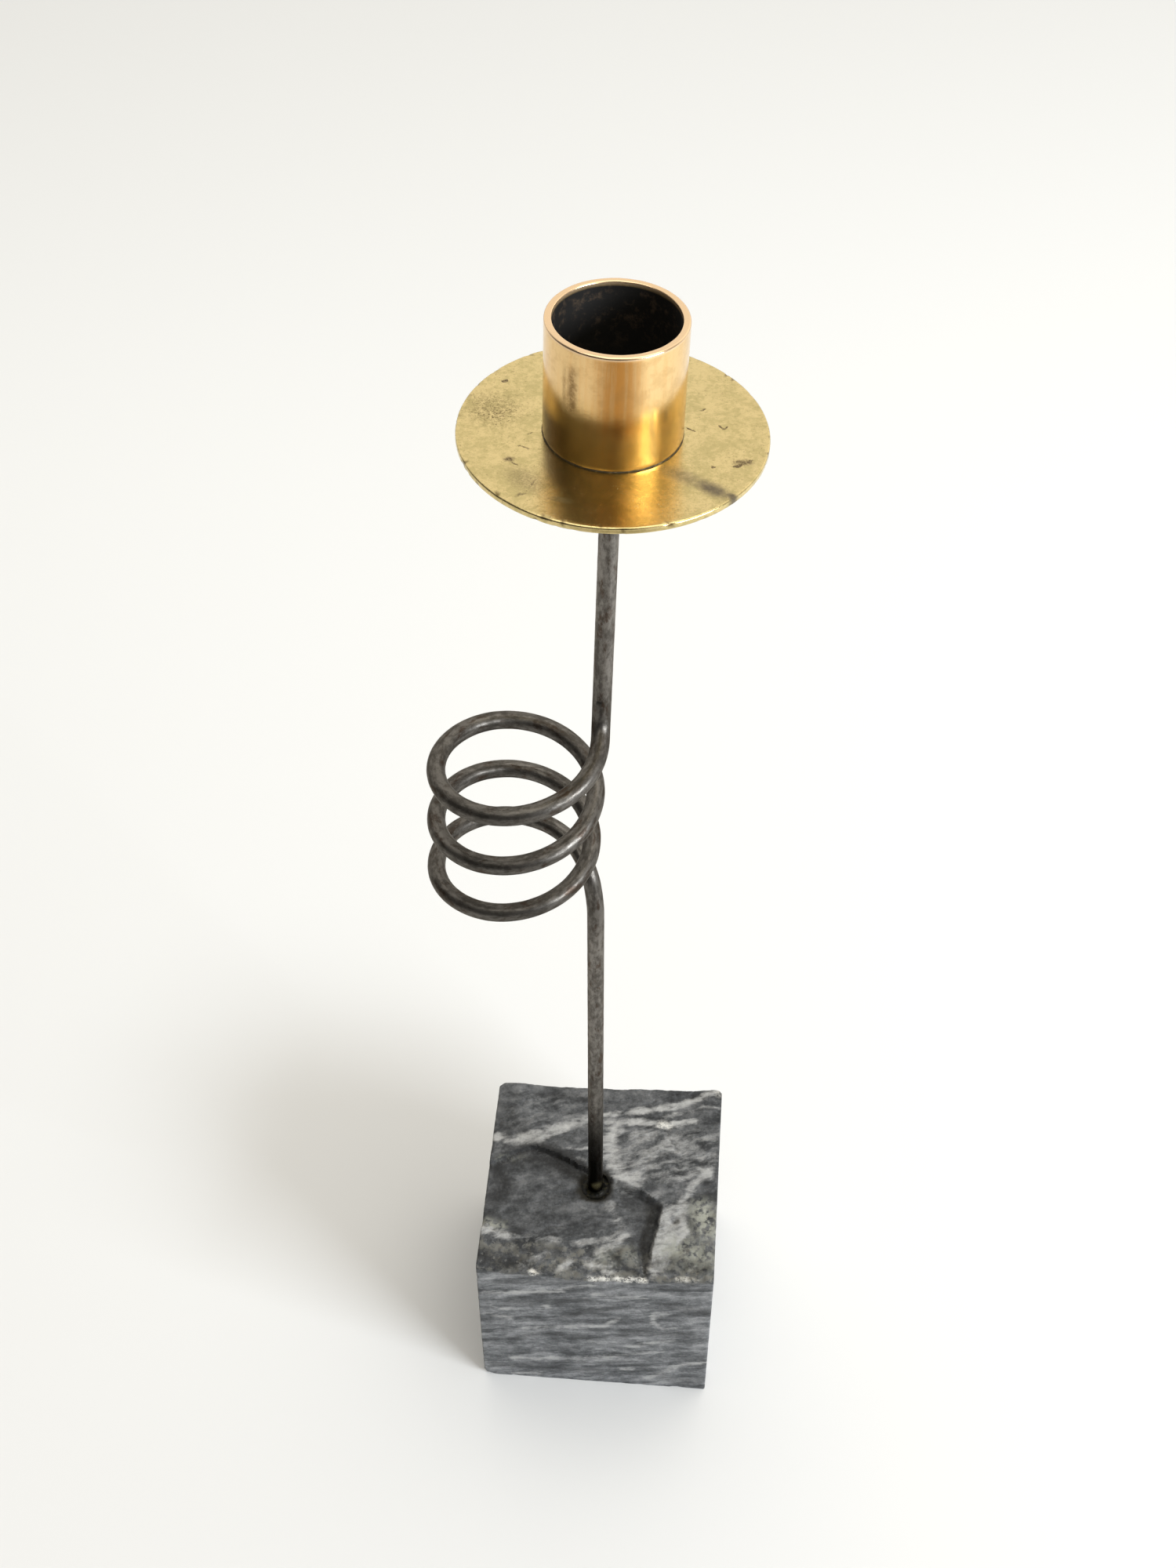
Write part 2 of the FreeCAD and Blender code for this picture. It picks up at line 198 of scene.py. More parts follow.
def close_up(piece: bpy.types.Object) -> None:
    """Merge doubles, turn all faces outwards and shade smoothly up to sharp edges.

    Args:
        piece: The finished mesh.
    """
    open_up(piece)
    bpy.ops.mesh.remove_doubles(threshold=MERGE_DISTANCE)
    bpy.ops.mesh.normals_make_consistent(inside=False)
    bpy.ops.object.mode_set(mode="OBJECT")
    bpy.ops.object.shade_smooth_by_angle(angle=SHARP_EDGE)


def make_uneven(piece: bpy.types.Object, grain: float, depth: float) -> None:
    """Push a surface gently in and out, as hand work leaves it.

    Args:
        piece: The mesh to work on.
        grain: Size of the swellings in millimetres.
        depth: How far the surface moves, in millimetres.
    """
    clouds = bpy.data.textures.new("hand_work", "CLOUDS")
    clouds.noise_scale = grain * MM
    clouds.noise_depth = 2
    take_up(piece)
    bpy.ops.object.modifier_add(type="DISPLACE")
    modifier = piece.modifiers[-1]
    modifier.texture = clouds
    modifier.texture_coords = "LOCAL"
    modifier.strength = depth * MM
    modifier.mid_level = 1.0
    bpy.ops.object.modifier_apply(modifier=modifier.name)
    bpy.data.textures.remove(clouds)


# Sums on many points at once


def ease(values: np.ndarray, low: float | np.ndarray, high: float | np.ndarray) -> np.ndarray:
    """Zero below one limit and one above the other, with a smooth passage between them.

    Args:
        values: The values to pass through.
        low: Where the result is zero.
        high: Where the result is one. It may be less than low.

    Returns:
        Numbers from zero to one.
    """
    share = np.clip((values - low) / (high - low), 0, 1)
    return share * share * (3 - 2 * share)


def ripple(places: np.ndarray, grain: float, seed: float, octaves: int = 2) -> np.ndarray:
    """Smooth unevenness, from about minus one to one.

    Args:
        places: One row of x, y and z in millimetres for each point.
        grain: Size of the swellings in millimetres.
        seed: Shifts the pattern, so that two uses differ.
        octaves: How many finer layers are added.

    Returns:
        One number for each point.
    """
    shift = Vector((seed * 17.3, seed * 7.1, seed * 3.9))
    values = [noise.fractal(Vector(place) / grain + shift, 1.0, 2.0, octaves) for place in places]
    return np.array(values)


def from_axis(places: np.ndarray) -> tuple[np.ndarray, np.ndarray]:
    """Each point's distance from the upright axis, and its unit step away from it.

    Args:
        places: One row of x, y and z for each point.

    Returns:
        One distance and one row of three for each point.
    """
    radius = np.hypot(places[:, 0], places[:, 1])
    return radius, places * PLAN / np.maximum(radius, 1e-6)[:, None]


def laid_flat(plan: np.ndarray) -> np.ndarray:
    """Rows of two coordinates with a third added, which is zero."""
    return np.column_stack([plan, np.zeros(len(plan))])


def line_distance(plan: np.ndarray, points: Points) -> np.ndarray:
    """Distance of each point to a line of straight runs, or to a single spot.

    Args:
        plan: One row of two coordinates for each point.
        points: The line's own points, or just one.

    Returns:
        One distance for each point.
    """
    best = np.hypot(*(plan - np.array(points[0])).T)
    for start, end in zip(np.array(points[:-1]), np.array(points[1:])):
        run = end - start
        share = np.clip((plan - start) @ run / (run @ run), 0, 1)
        nearest = start + share[:, None] * run
        best = np.minimum(best, np.hypot(*(plan - nearest).T))
    return best


def inside(plan: np.ndarray, corners: Points) -> np.ndarray:
    """Says which points lie inside a closed outline.

    Args:
        plan: One row of two coordinates for each point.
        corners: The outline's corners in order.

    Returns:
        True or false for each point.
    """
    within = np.zeros(len(plan), bool)
    for (ax, ay), (bx, by) in zip(corners, corners[1:] + corners[:1]):
        straddles = (ay > plan[:, 1]) != (by > plan[:, 1])
        rise = by - ay if by != ay else 1.0
        crossing = ax + (plan[:, 1] - ay) * (bx - ax) / rise
        within ^= straddles & (plan[:, 0] < crossing)
    return within


def outline_distance(plan: np.ndarray, corners: Points) -> np.ndarray:
    """Distance to a closed outline, negative inside it.

    Args:
        plan: One row of two coordinates for each point.
        corners: The outline's corners in order.

    Returns:
        One distance for each point.
    """
    distance = line_distance(plan, corners + corners[:1])
    return np.where(inside(plan, corners), -distance, distance)


# Node trees


class Shade:
    """A value on its way through a node tree. Arithmetic on it adds Math nodes."""

    def __init__(self, recipe: "Recipe", socket: bpy.types.NodeSocket) -> None:
        """Hold one output socket of the recipe's tree.

        Args:
            recipe: The recipe that the socket belongs to.
            socket: The output socket.
        """
        self.recipe = recipe
        self.socket = socket

    def output(self, key: int | str) -> "Shade":
        """Another output of the same node."""
        return Shade(self.recipe, self.socket.node.outputs[key])

    def _math(self, operation: str, first: "Shade | float", second: "Shade | float") -> "Shade":
        """Add one Math node on two values."""
        return self.recipe.node("ShaderNodeMath", {"operation": operation}, {0: first, 1: second})

    def __add__(self, other: "Shade | float") -> "Shade":
        """This value plus another."""
        return self._math("ADD", self, other)

    __radd__ = __add__

    def __sub__(self, other: "Shade | float") -> "Shade":
        """This value less another."""
        return self._math("SUBTRACT", self, other)

    def __rsub__(self, other: float) -> "Shade":
        """A number less this value."""
        return self._math("SUBTRACT", other, self)

    def __mul__(self, other: "Shade | float") -> "Shade":
        """This value times another."""
        return self._math("MULTIPLY", self, other)

    __rmul__ = __mul__

    def greater_of(self, other: "Shade | float") -> "Shade":
        """The greater of this value and another."""
        return self._math("MAXIMUM", self, other)

    def size(self) -> "Shade":
        """This value without its sign."""
        return self._math("ABSOLUTE", self, 0.0)


class Recipe:
    """Builds the node tree of a finish or of the room's light."""

    def __init__(self, tree: bpy.types.NodeTree) -> None:
        """Start with an empty tree.

        Args:
            tree: The node tree to fill.
        """
        self.tree = tree
        tree.nodes.clear()

    def node(
        self,
        kind: str,
        settings: dict[str, object] | None = None,
        inputs: dict[int | str, object] | None = None,
        output: int | str = 0,
    ) -> Shade:
        """Add one node: first its settings, then the values or links of its sockets.

        Args:
            kind: The node's type.
            settings: Its own settings, and "stops" for a ramp.
            inputs: A number, a colour, a vector or a Shade for each socket that is set.
            output: Which output is passed on.

        Returns:
            That output.
        """
        added = self.tree.nodes.new(kind)
        for name, value in (settings or {}).items():
            if name == "stops":
                self._set_stops(added.color_ramp, value)
            else:
                setattr(added, name, value)
        for key, value in (inputs or {}).items():
            if isinstance(value, Shade):
                self.tree.links.new(value.socket, added.inputs[key])
            else:
                added.inputs[key].default_value = value
        outputs = added.outputs
        return Shade(self, outputs[output] if outputs else None)

    def _set_stops(self, ramp: bpy.types.ColorRamp, stops: Sequence[tuple[float, Colour]]) -> None:
        """Give a colour ramp its stops.

        Args:
            ramp: The ramp.
            stops: A position and a colour for each stop.
        """
        while len(ramp.elements) < len(stops):
            ramp.elements.new(1.0)
        for element, (position, colour) in zip(ramp.elements, stops):
            element.position = position
            element.color = (*colour, 1.0)

    def place(self, seat: Matrix | None = None) -> Shade:
        """The surface's own place in millimetres, measured from a seat.

        Args:
            seat: Where the piece was stood after it was turned, or nothing for the block's frame.

        Returns:
            A vector.
        """
        seat = seat or Matrix.Identity(4)
        coordinates = self.node("ShaderNodeTexCoord", output="Object")
        return self.seen_from(coordinates, seat.to_translation(), seat.to_euler(), (MM, MM, MM))

    def seen_from(self, vector: Shade, seat: Triple, turn: Triple, units: Triple) -> Shade:
        """A place measured from a seat, along the seat's own turned axes and in its own units."""
        inputs = {"Vector": vector, "Location": seat, "Rotation": turn, "Scale": units}
        return self.node("ShaderNodeMapping", {"vector_type": "TEXTURE"}, inputs)

    def vector_math(self, operation: str, first: object, second: object, output: int = 0) -> Shade:
        """One Vector Math node on two values, with output 1 where its result is a number."""
        return self.node("ShaderNodeVectorMath", {"operation": operation}, {0: first, 1: second}, output)

    def split(self, vector: Shade) -> tuple[Shade, Shade, Shade]:
        """The three numbers of a vector."""
        first = self.node("ShaderNodeSeparateXYZ", inputs={0: vector})
        return first, first.output(1), first.output(2)

    def join(self, x: Shade | float, y: Shade | float, z: Shade | float) -> Shade:
        """A vector of three numbers."""
        return self.node("ShaderNodeCombineXYZ", inputs={0: x, 1: y, 2: z})

    def stretch(self, vector: Shade, factors: Triple) -> Shade:
        """A vector with each of its numbers multiplied by its own factor."""
        return self.vector_math("MULTIPLY", vector, factors)

    def stray(self, vector: Shade, grain: float, reach: float) -> Shade:
        """A place moved about by smooth noise, so that what is drawn there wanders.

        Args:
            vector: The place in millimetres.
            grain: Size of the wanderings.
            reach: How far they go.

        Returns:
            The moved place.
        """
        swirl = self.noise(vector, grain, detail=2.0, output="Color")
        centred = self.vector_math("SUBTRACT", swirl, (0.5, 0.5, 0.5))
        return self.vector_math("ADD", vector, self.stretch(centred, (reach, reach, reach)))

    def noise(
        self,
        vector: Shade,
        grain: float,
        detail: float = 3.0,
        roughness: float = 0.55,
        output: int | str = 0,
    ) -> Shade:
        """Cloudy noise from zero to one, about its middle.

        Args:
            vector: The place in millimetres.
            grain: Size of the clouds in millimetres.
            detail: How many finer layers are added.
            roughness: How strong the finer layers are.
            output: Which output is passed on.

        Returns:
            The noise.
        """
        inputs = {"Vector": vector, "Scale": 1 / grain, "Detail": detail, "Roughness": roughness}
        return self.node("ShaderNodeTexNoise", None, inputs, output)

    def grains(self, vector: Shade, size: float) -> Shade:
        """A number from zero to one that stays the same within each small crystal.

        Args:
            vector: The place in millimetres.
            size: About how large a crystal is, in millimetres.

        Returns:
            The number.
        """
        inputs = {"Vector": vector, "Scale": 1 / size}
        return self.split(self.node("ShaderNodeTexVoronoi", None, inputs, "Color"))[0]

    def ease(self, value: Shade, low: float, high: float) -> Shade:
        """Zero at one limit and one at the other, with a smooth passage between them.

        Args:
            value: The value to pass through.
            low: Where the result is zero.
            high: Where the result is one. It may be less than low.

        Returns:
            A number from zero to one.
        """
        settings = {"interpolation_type": "SMOOTHSTEP"}
        return self.node("ShaderNodeMapRange", settings, {"Value": value, "From Min": low, "From Max": high})

    def mix(self, factor: Shade | float, first: "Shade | Colour", second: "Shade | Colour") -> Shade:
        """A colour between two others.

        Args:
            factor: Zero for the first colour and one for the second.
            first: A colour or a link.
            second: A colour or a link.

        Returns:
            The mixed colour.
        """
        return self._blend("MIX", factor, first, second)

    def layers(self, colour: "Shade | Colour", *coats: "tuple[Shade, Shade | Colour]") -> Shade:
        """A colour with others laid over it, one after another.

        Args:
            colour: The ground.
            coats: For each layer, how well it covers what is below it, and its colour.

        Returns:
            The colour that is left to see.
        """
        for cover, coat in coats:
            colour = self.mix(cover, colour, coat)
        return colour

    def tint(self, colour: "Shade | Colour", by: Shade) -> Shade:
        """A colour made lighter or darker by a number."""
        return self._blend("MULTIPLY", 1.0, colour, self.join(by, by, by))

    def _blend(
        self, blend: str, factor: "Shade | float", first: "Shade | Colour", second: "Shade | Colour"
    ) -> Shade:
        """Add one Mix node on two colours.

        Args:
            blend: How they are blended.
            factor: How far.
            first: A colour or a link.
            second: A colour or a link.

        Returns:
            The blended colour.
        """
        settings = {"data_type": "RGBA", "blend_type": blend}
        inputs = {MIX_FACTOR: factor, MIX_FIRST: self._paint(first), MIX_SECOND: self._paint(second)}
        return self.node("ShaderNodeMix", settings, inputs, MIX_RESULT)

    def _paint(self, colour: "Shade | Colour") -> "Shade | tuple[float, ...]":
        """A colour with the alpha that its socket wants, or a link as it is."""
        return colour if isinstance(colour, Shade) else (*colour, 1.0)

    def attribute(self, name: str, output: str = "Fac") -> Shade:
        """What a mesh keeps for each vertex under a name."""
        return self.node("ShaderNodeAttribute", {"attribute_name": name}, output=output)

    def distance(self, place: Shade, centre: Triple) -> Shade:
        """How far a place is from a point."""
        return self.vector_math("DISTANCE", place, centre, 1)

    def spot(self, place: Shade, centre: Triple, reach: float, soft: float) -> Shade:
        """One within a distance of a point, and zero beyond it.

        Args:
            place: The place in millimetres.
            centre: The point.
            reach: Where the spot has faded out.
            soft: The share of the reach over which it fades.

        Returns:
            A number from zero to one.
        """
        return self.ease(self.distance(place, centre), reach, reach * (1 - soft))

    def bump(self, height: Shade, depth: float) -> Shade:
        """A normal that follows fine relief.

        Args:
            height: The relief, from zero to one.
            depth: Its depth in millimetres.

        Returns:
            The normal.
        """
        return self.node("ShaderNodeBump", None, {"Height": height, "Distance": depth * MM})

    def finish(
        self,
        colour: "Shade | Colour",
        roughness: "Shade | float",
        normal: Shade | None = None,
        metallic: "Shade | float" = 0.0,
        specular: float = 0.5,
        edge_tint: Colour = (1.0, 1.0, 1.0),
    ) -> None:
        """End a finish with its surface shader.

        Args:
            colour: The surface's own colour.
            roughness: Zero for a mirror and one for chalk.
            normal: Its relief, or nothing where it is smooth.
            metallic: One for bare metal and zero for anything else.
            specular: How strongly it shines where it isn't metal.
            edge_tint: The colour that a metal takes on where it is seen along its surface.
        """
        inputs = {
            "Base Color": self._paint(colour),
            "Roughness": roughness,
            "Metallic": metallic,
            "Specular IOR Level": specular,
            "Specular Tint": self._paint(edge_tint),
        }
        if normal is not None:
            inputs["Normal"] = normal
        surface = self.node("ShaderNodeBsdfPrincipled", None, inputs)
        self.node("ShaderNodeOutputMaterial", None, {"Surface": surface})


# Finishes


@dataclass(frozen=True)
class Finish:
    """A finish that a piece is given."""

    name: str

    def mix_up(self, seat: Matrix | None = None) -> bpy.types.Material:
        """Make the material.

        Args:
            seat: Where the piece was stood after it was turned, or nothing.

        Returns:
            The material, ready for a piece's slot.
        """
        material = bpy.data.materials.new(self.name)
        material.use_nodes = True
        recipe = Recipe(material.node_tree)
        self.paint(recipe, recipe.place(seat))
        return material

    def paint(self, recipe: Recipe, place: Shade) -> None:
        """Fill the node tree.

        Args:
            recipe: The tree to fill.
            place: The surface's own place in millimetres.
        """
        raise NotImplementedError(self.name)


@dataclass(frozen=True)
class Marble(Finish):
    """Dark grey marble in thin tilted beds, streaked where it is sawn and crystalline where it is split."""

    name: str = "marble"
    bed_normal: Triple = (-0.177, 0.512, 0.841)
    deep: Colour = (0.052, 0.055, 0.058)
    ground: Colour = (0.125, 0.131, 0.137)
    ash: Colour = (0.235, 0.242, 0.250)
    light: Colour = (0.40, 0.405, 0.41)
    pale: Colour = (0.46, 0.46, 0.45)
    chalk: Colour = (0.78, 0.76, 0.70)
    rubble: Colour = (0.150, 0.146, 0.128)
    moss: Colour = (0.330, 0.335, 0.285)
    hollow: Colour = (0.018, 0.018, 0.018)
    stain_and_hole_shade: Colour = (0.014, 0.012, 0.007)
    sawn_tint: float = 0.90
    split_tint: float = 0.46

    def paint(self, recipe: Recipe, place: Shade) -> None:
        """Fill the node tree.

        Args:
            recipe: The tree to fill.
            place: The surface's own place in millimetres.
        """
        broken = recipe.attribute("split")
        crystals = recipe.grains(place, 0.5)
        blotches = recipe.noise(place, 2.6, detail=6.0, roughness=0.68)
        broad, fine = self._beds(recipe, place)
        streaked = broad * 0.50 + fine * 0.26 + blotches * 0.24
        blotched = broad * 0.40 + fine * 0.24 + blotches * 0.36
        tone = streaked + (blotched - streaked) * broken + (crystals - 0.5) * 0.05
        stops = [(0.39, self.deep), (0.47, self.ground), (0.54, self.ash), (0.63, self.light)]
        colour = recipe.node("ShaderNodeValToRGB", {"stops": stops}, {0: tone})
        # The split top is tinted darker than the sawn sides: partly the split stone's own darker colour,
        # partly painted shade for its rough, self-shadowing face.
        colour = recipe.tint(colour, self.sawn_tint - broken * (self.sawn_tint - self.split_tint))

        crumbs = recipe.noise(place, 0.9, detail=4.0, roughness=0.75)
        sparkle = recipe.ease(crystals, 0.25, 0.75)
        rubble = recipe.attribute("rubble")
        vein = recipe.attribute("vein")
        feathers = crumbs * 0.45 + fine * 2.2 + blotches * 0.7 - 1.67
        worn = recipe.ease(vein + feathers, 0.0, 1.15) * recipe.ease(vein, 0.0, 0.35)
        moss = recipe.attribute("moss") * recipe.ease(recipe.noise(place, 1.6), 0.36, 0.56)
        # Painted shade on the top's ledges, notch, lump and hollow, and dark bands in the stone on the
        # front.
        shade = recipe.attribute("shade") * (0.75 + recipe.ease(crumbs, 0.60, 0.40) * 0.25)
        chalk = recipe.attribute("chalk") * recipe.ease(crumbs + crystals * 0.2, 0.46, 0.66)
        chips = recipe.ease(recipe.grains(place, 0.6), 0.93, 0.97) * (0.02 + rubble * 0.05)
        colour = recipe.layers(
            colour,
            (rubble * recipe.ease(blotches, 0.44, 0.60) * 0.9, self.rubble),
            (worn * (0.88 + sparkle * 0.12), self.pale),
            (moss, self.moss),
            (shade, self.hollow),
            (chalk, self.chalk),
            (chips, self.chalk),
            (recipe.attribute("stain_and_hole_shade"), self.stain_and_hole_shade),
        )
        pits = recipe.noise(place, 0.35, detail=4.0, roughness=0.7)
        relief = recipe.bump((0.25 + broken * 0.75) * pits, 0.10)
        recipe.finish(colour, 0.56 + broken * 0.14 + crystals * 0.12, relief, specular=0.35)

    def _beds(self, recipe: Recipe, place: Shade) -> tuple[Shade, Shade]:
        """Light and dark beds that lie across the tilted bedding.

        Args:
            recipe: The tree to fill.
            place: The surface's own place in millimetres.

        Returns:
            Broad beds and thin sheets, each about its middle, one half.
        """
        wandering = recipe.stray(place, grain=9.0, reach=2.6)
        level = recipe.vector_math("DOT_PRODUCT", wandering, self.bed_normal, 1)
        right, back, _ = recipe.split(wandering)
        beds = recipe.join(right * 0.08, back * 0.08, level * 0.36)
        sheets = recipe.join(right * 0.15, back * 0.16, level * 0.95)
        broad = recipe.noise(beds, 1.0, detail=4.0, roughness=0.6)
        return broad, recipe.noise(sheets, 1.0, detail=4.0, roughness=0.62)


@dataclass(frozen=True)
class Clouded(Finish):
    """Two colours in soft clouds with a fine relief, rougher where the clouds lie."""

    body: Colour
    cast: Colour
    grain: float
    thin: float
    thick: float
    smoothest: float
    relief_grain: float
    relief_depth: float
    detail: float = 4.0
    roughening: float = 0.2
    metallic: float = 0.0
    specular: float = 0.5

    def paint(self, recipe: Recipe, place: Shade) -> None:
        """Fill the node tree.

        Args:
            recipe: The tree to fill.
            place: The surface's own place in millimetres.
        """
        clouds = recipe.noise(place, self.grain, self.detail)
        colour = recipe.mix(recipe.ease(clouds, self.thin, self.thick), self.body, self.cast)
        roughness = self.smoothest + clouds * self.roughening
        relief = recipe.bump(recipe.noise(place, self.relief_grain), self.relief_depth)
        recipe.finish(colour, roughness, relief, self.metallic, self.specular)


@dataclass(frozen=True)
class Resin(Clouded):
    """Dark cured resin with a brown cast, wetly glossy."""

    name: str = "resin"
    body: Colour = (0.004, 0.004, 0.003)
    cast: Colour = (0.026, 0.022, 0.010)
    grain: float = 1.1
    detail: float = 3.0
    thin: float = 0.50
    thick: float = 0.68
    smoothest: float = 0.30
    roughening: float = 0.25
    relief_grain: float = 0.9
    relief_depth: float = 0.06
    specular: float = 0.16


@dataclass(frozen=True)
class Braze(Clouded):
    """Brazing brass as it set, dull and a little scaled."""

    name: str = "braze"
    body: Colour = (0.52, 0.39, 0.17)
    cast: Colour = (0.14, 0.10, 0.06)
    grain: float = 1.0
    thin: float = 0.45
    thick: float = 0.62
    smoothest: float = 0.34
    relief_grain: float = 0.4
    relief_depth: float = 0.05
    metallic: float = 0.9


@dataclass(frozen=True)
class Solder(Clouded):
    """A dull dark line of old solder."""

    name: str = "solder"
    body: Colour = (0.055, 0.040, 0.020)
    cast: Colour = (0.20, 0.14, 0.06)
    grain: float = 0.9
    thin: float = 0.52
    thick: float = 0.66
    smoothest: float = 0.45
    relief_grain: float = 0.3
    relief_depth: float = 0.04
    metallic: float = 0.6


@dataclass(frozen=True)
class IronWire(Finish):
    """Bare dark iron with mill scale, worn paler along its length, and brown in places."""

    name: str = "iron_wire"
    scale: Colour = (0.084, 0.077, 0.068)
    worn: Colour = (0.185, 0.173, 0.157)
    brown: Colour = (0.052, 0.033, 0.022)
    pit: Colour = (0.012, 0.011, 0.010)
    # Colour of the painted shade at the wire's foot.
    painted_shade: Colour = (0.003, 0.003, 0.002)
    # Colour of the painted highlight just above the resin.
    glint: Colour = (0.50, 0.44, 0.24)
    edge_tint: Colour = (0.60, 0.58, 0.55)
    coil_height: float = 203.0

    def paint(self, recipe: Recipe, place: Shade) -> None:
        """Fill the node tree.

        Args:
            recipe: The tree to fill.
            place: The surface's own place in millimetres.
        """
        straight = recipe.attribute("wire_place", "Vector")
        drawn = recipe.stretch(straight, (1.0, 1.0, 0.5))
        mottle = recipe.noise(drawn, 1.0, detail=6.0, roughness=0.70)
        patches = recipe.noise(recipe.stretch(straight, (0.6, 0.6, 0.15)), 1.3, detail=3.0)
        worn = recipe.ease(mottle * 0.65 + patches * 0.35, 0.40, 0.60)
        rust = recipe.noise(recipe.stretch(straight, (1.0, 1.0, 0.4)), 2.1, detail=4.0, roughness=0.7)
        crumbs = recipe.noise(straight, 0.35, detail=4.0, roughness=0.75)
        colour = recipe.layers(
            self.scale,
            (worn, self.worn),
            (recipe.ease(rust, 0.52, 0.66) * 0.75, self.brown),
            (recipe.ease(crumbs, 0.60, 0.72) * 0.7, self.pit),
            (recipe.attribute("pit"), self.pit),
        )
        _, _, height = recipe.split(place)
        # Darker across the coil's height and lighter along the straight runs above and below it.
        away_from_coil = recipe.ease((height - self.coil_height).size(), 28.0, 44.0)
        colour = recipe.tint(colour, 0.86 + away_from_coil * 0.44)
        # Painted shade: the wire's foot is painted near black, a little more on its left side.
        painted_shade = recipe.attribute("painted_foot_shade")
        # Painted highlight: a warm glint on the wire's front just above the resin.
        colour = recipe.layers(colour, (painted_shade, self.painted_shade), (recipe.attribute("foot_glint"), self.glint))
        roughness = 0.36 - worn * 0.08 + crumbs * 0.10 - painted_shade * 0.08
        relief = recipe.bump(mottle * 0.5 + crumbs * 0.5, 0.045)
        recipe.finish(colour, roughness, relief, metallic=0.95, edge_tint=self.edge_tint)


# A unit so long that a flat mark reaches right through the plate.
THROUGH = 1000.0


class BlotchShape(Enum):
    """How a mark on the pan ends: at a crisp edge, or fading away."""

    CRISP = 0.35
    FADING = 0.85


CRISP = BlotchShape.CRISP


@dataclass(frozen=True)
class Blotch:
    """An oval mark on the pan's top: its middle, half length, half width and turn, all as drawn flat."""

    right: float
    back: float
    half_length: float
    half_width: float
    turn: float = 0.0
    strength: float = 1.0
    shape: BlotchShape = BlotchShape.FADING

    def cover(self, recipe: Recipe, place: Shade) -> Shade:
        """How well the mark covers each place.

        Args:
            recipe: The tree to fill.
            place: The place in millimetres.

        Returns:
            A number from zero to one.
        """
        seat = (self.right, self.back, 0.0)
        turn = (0.0, 0.0, math.radians(self.turn))
        within = recipe.seen_from(place, seat, turn, (self.half_length, self.half_width, THROUGH))
        reach = recipe.distance(within, (0.0, 0.0, 0.0))
        return recipe.ease(reach, 1.0, 1.0 - self.shape.value) * self.strength


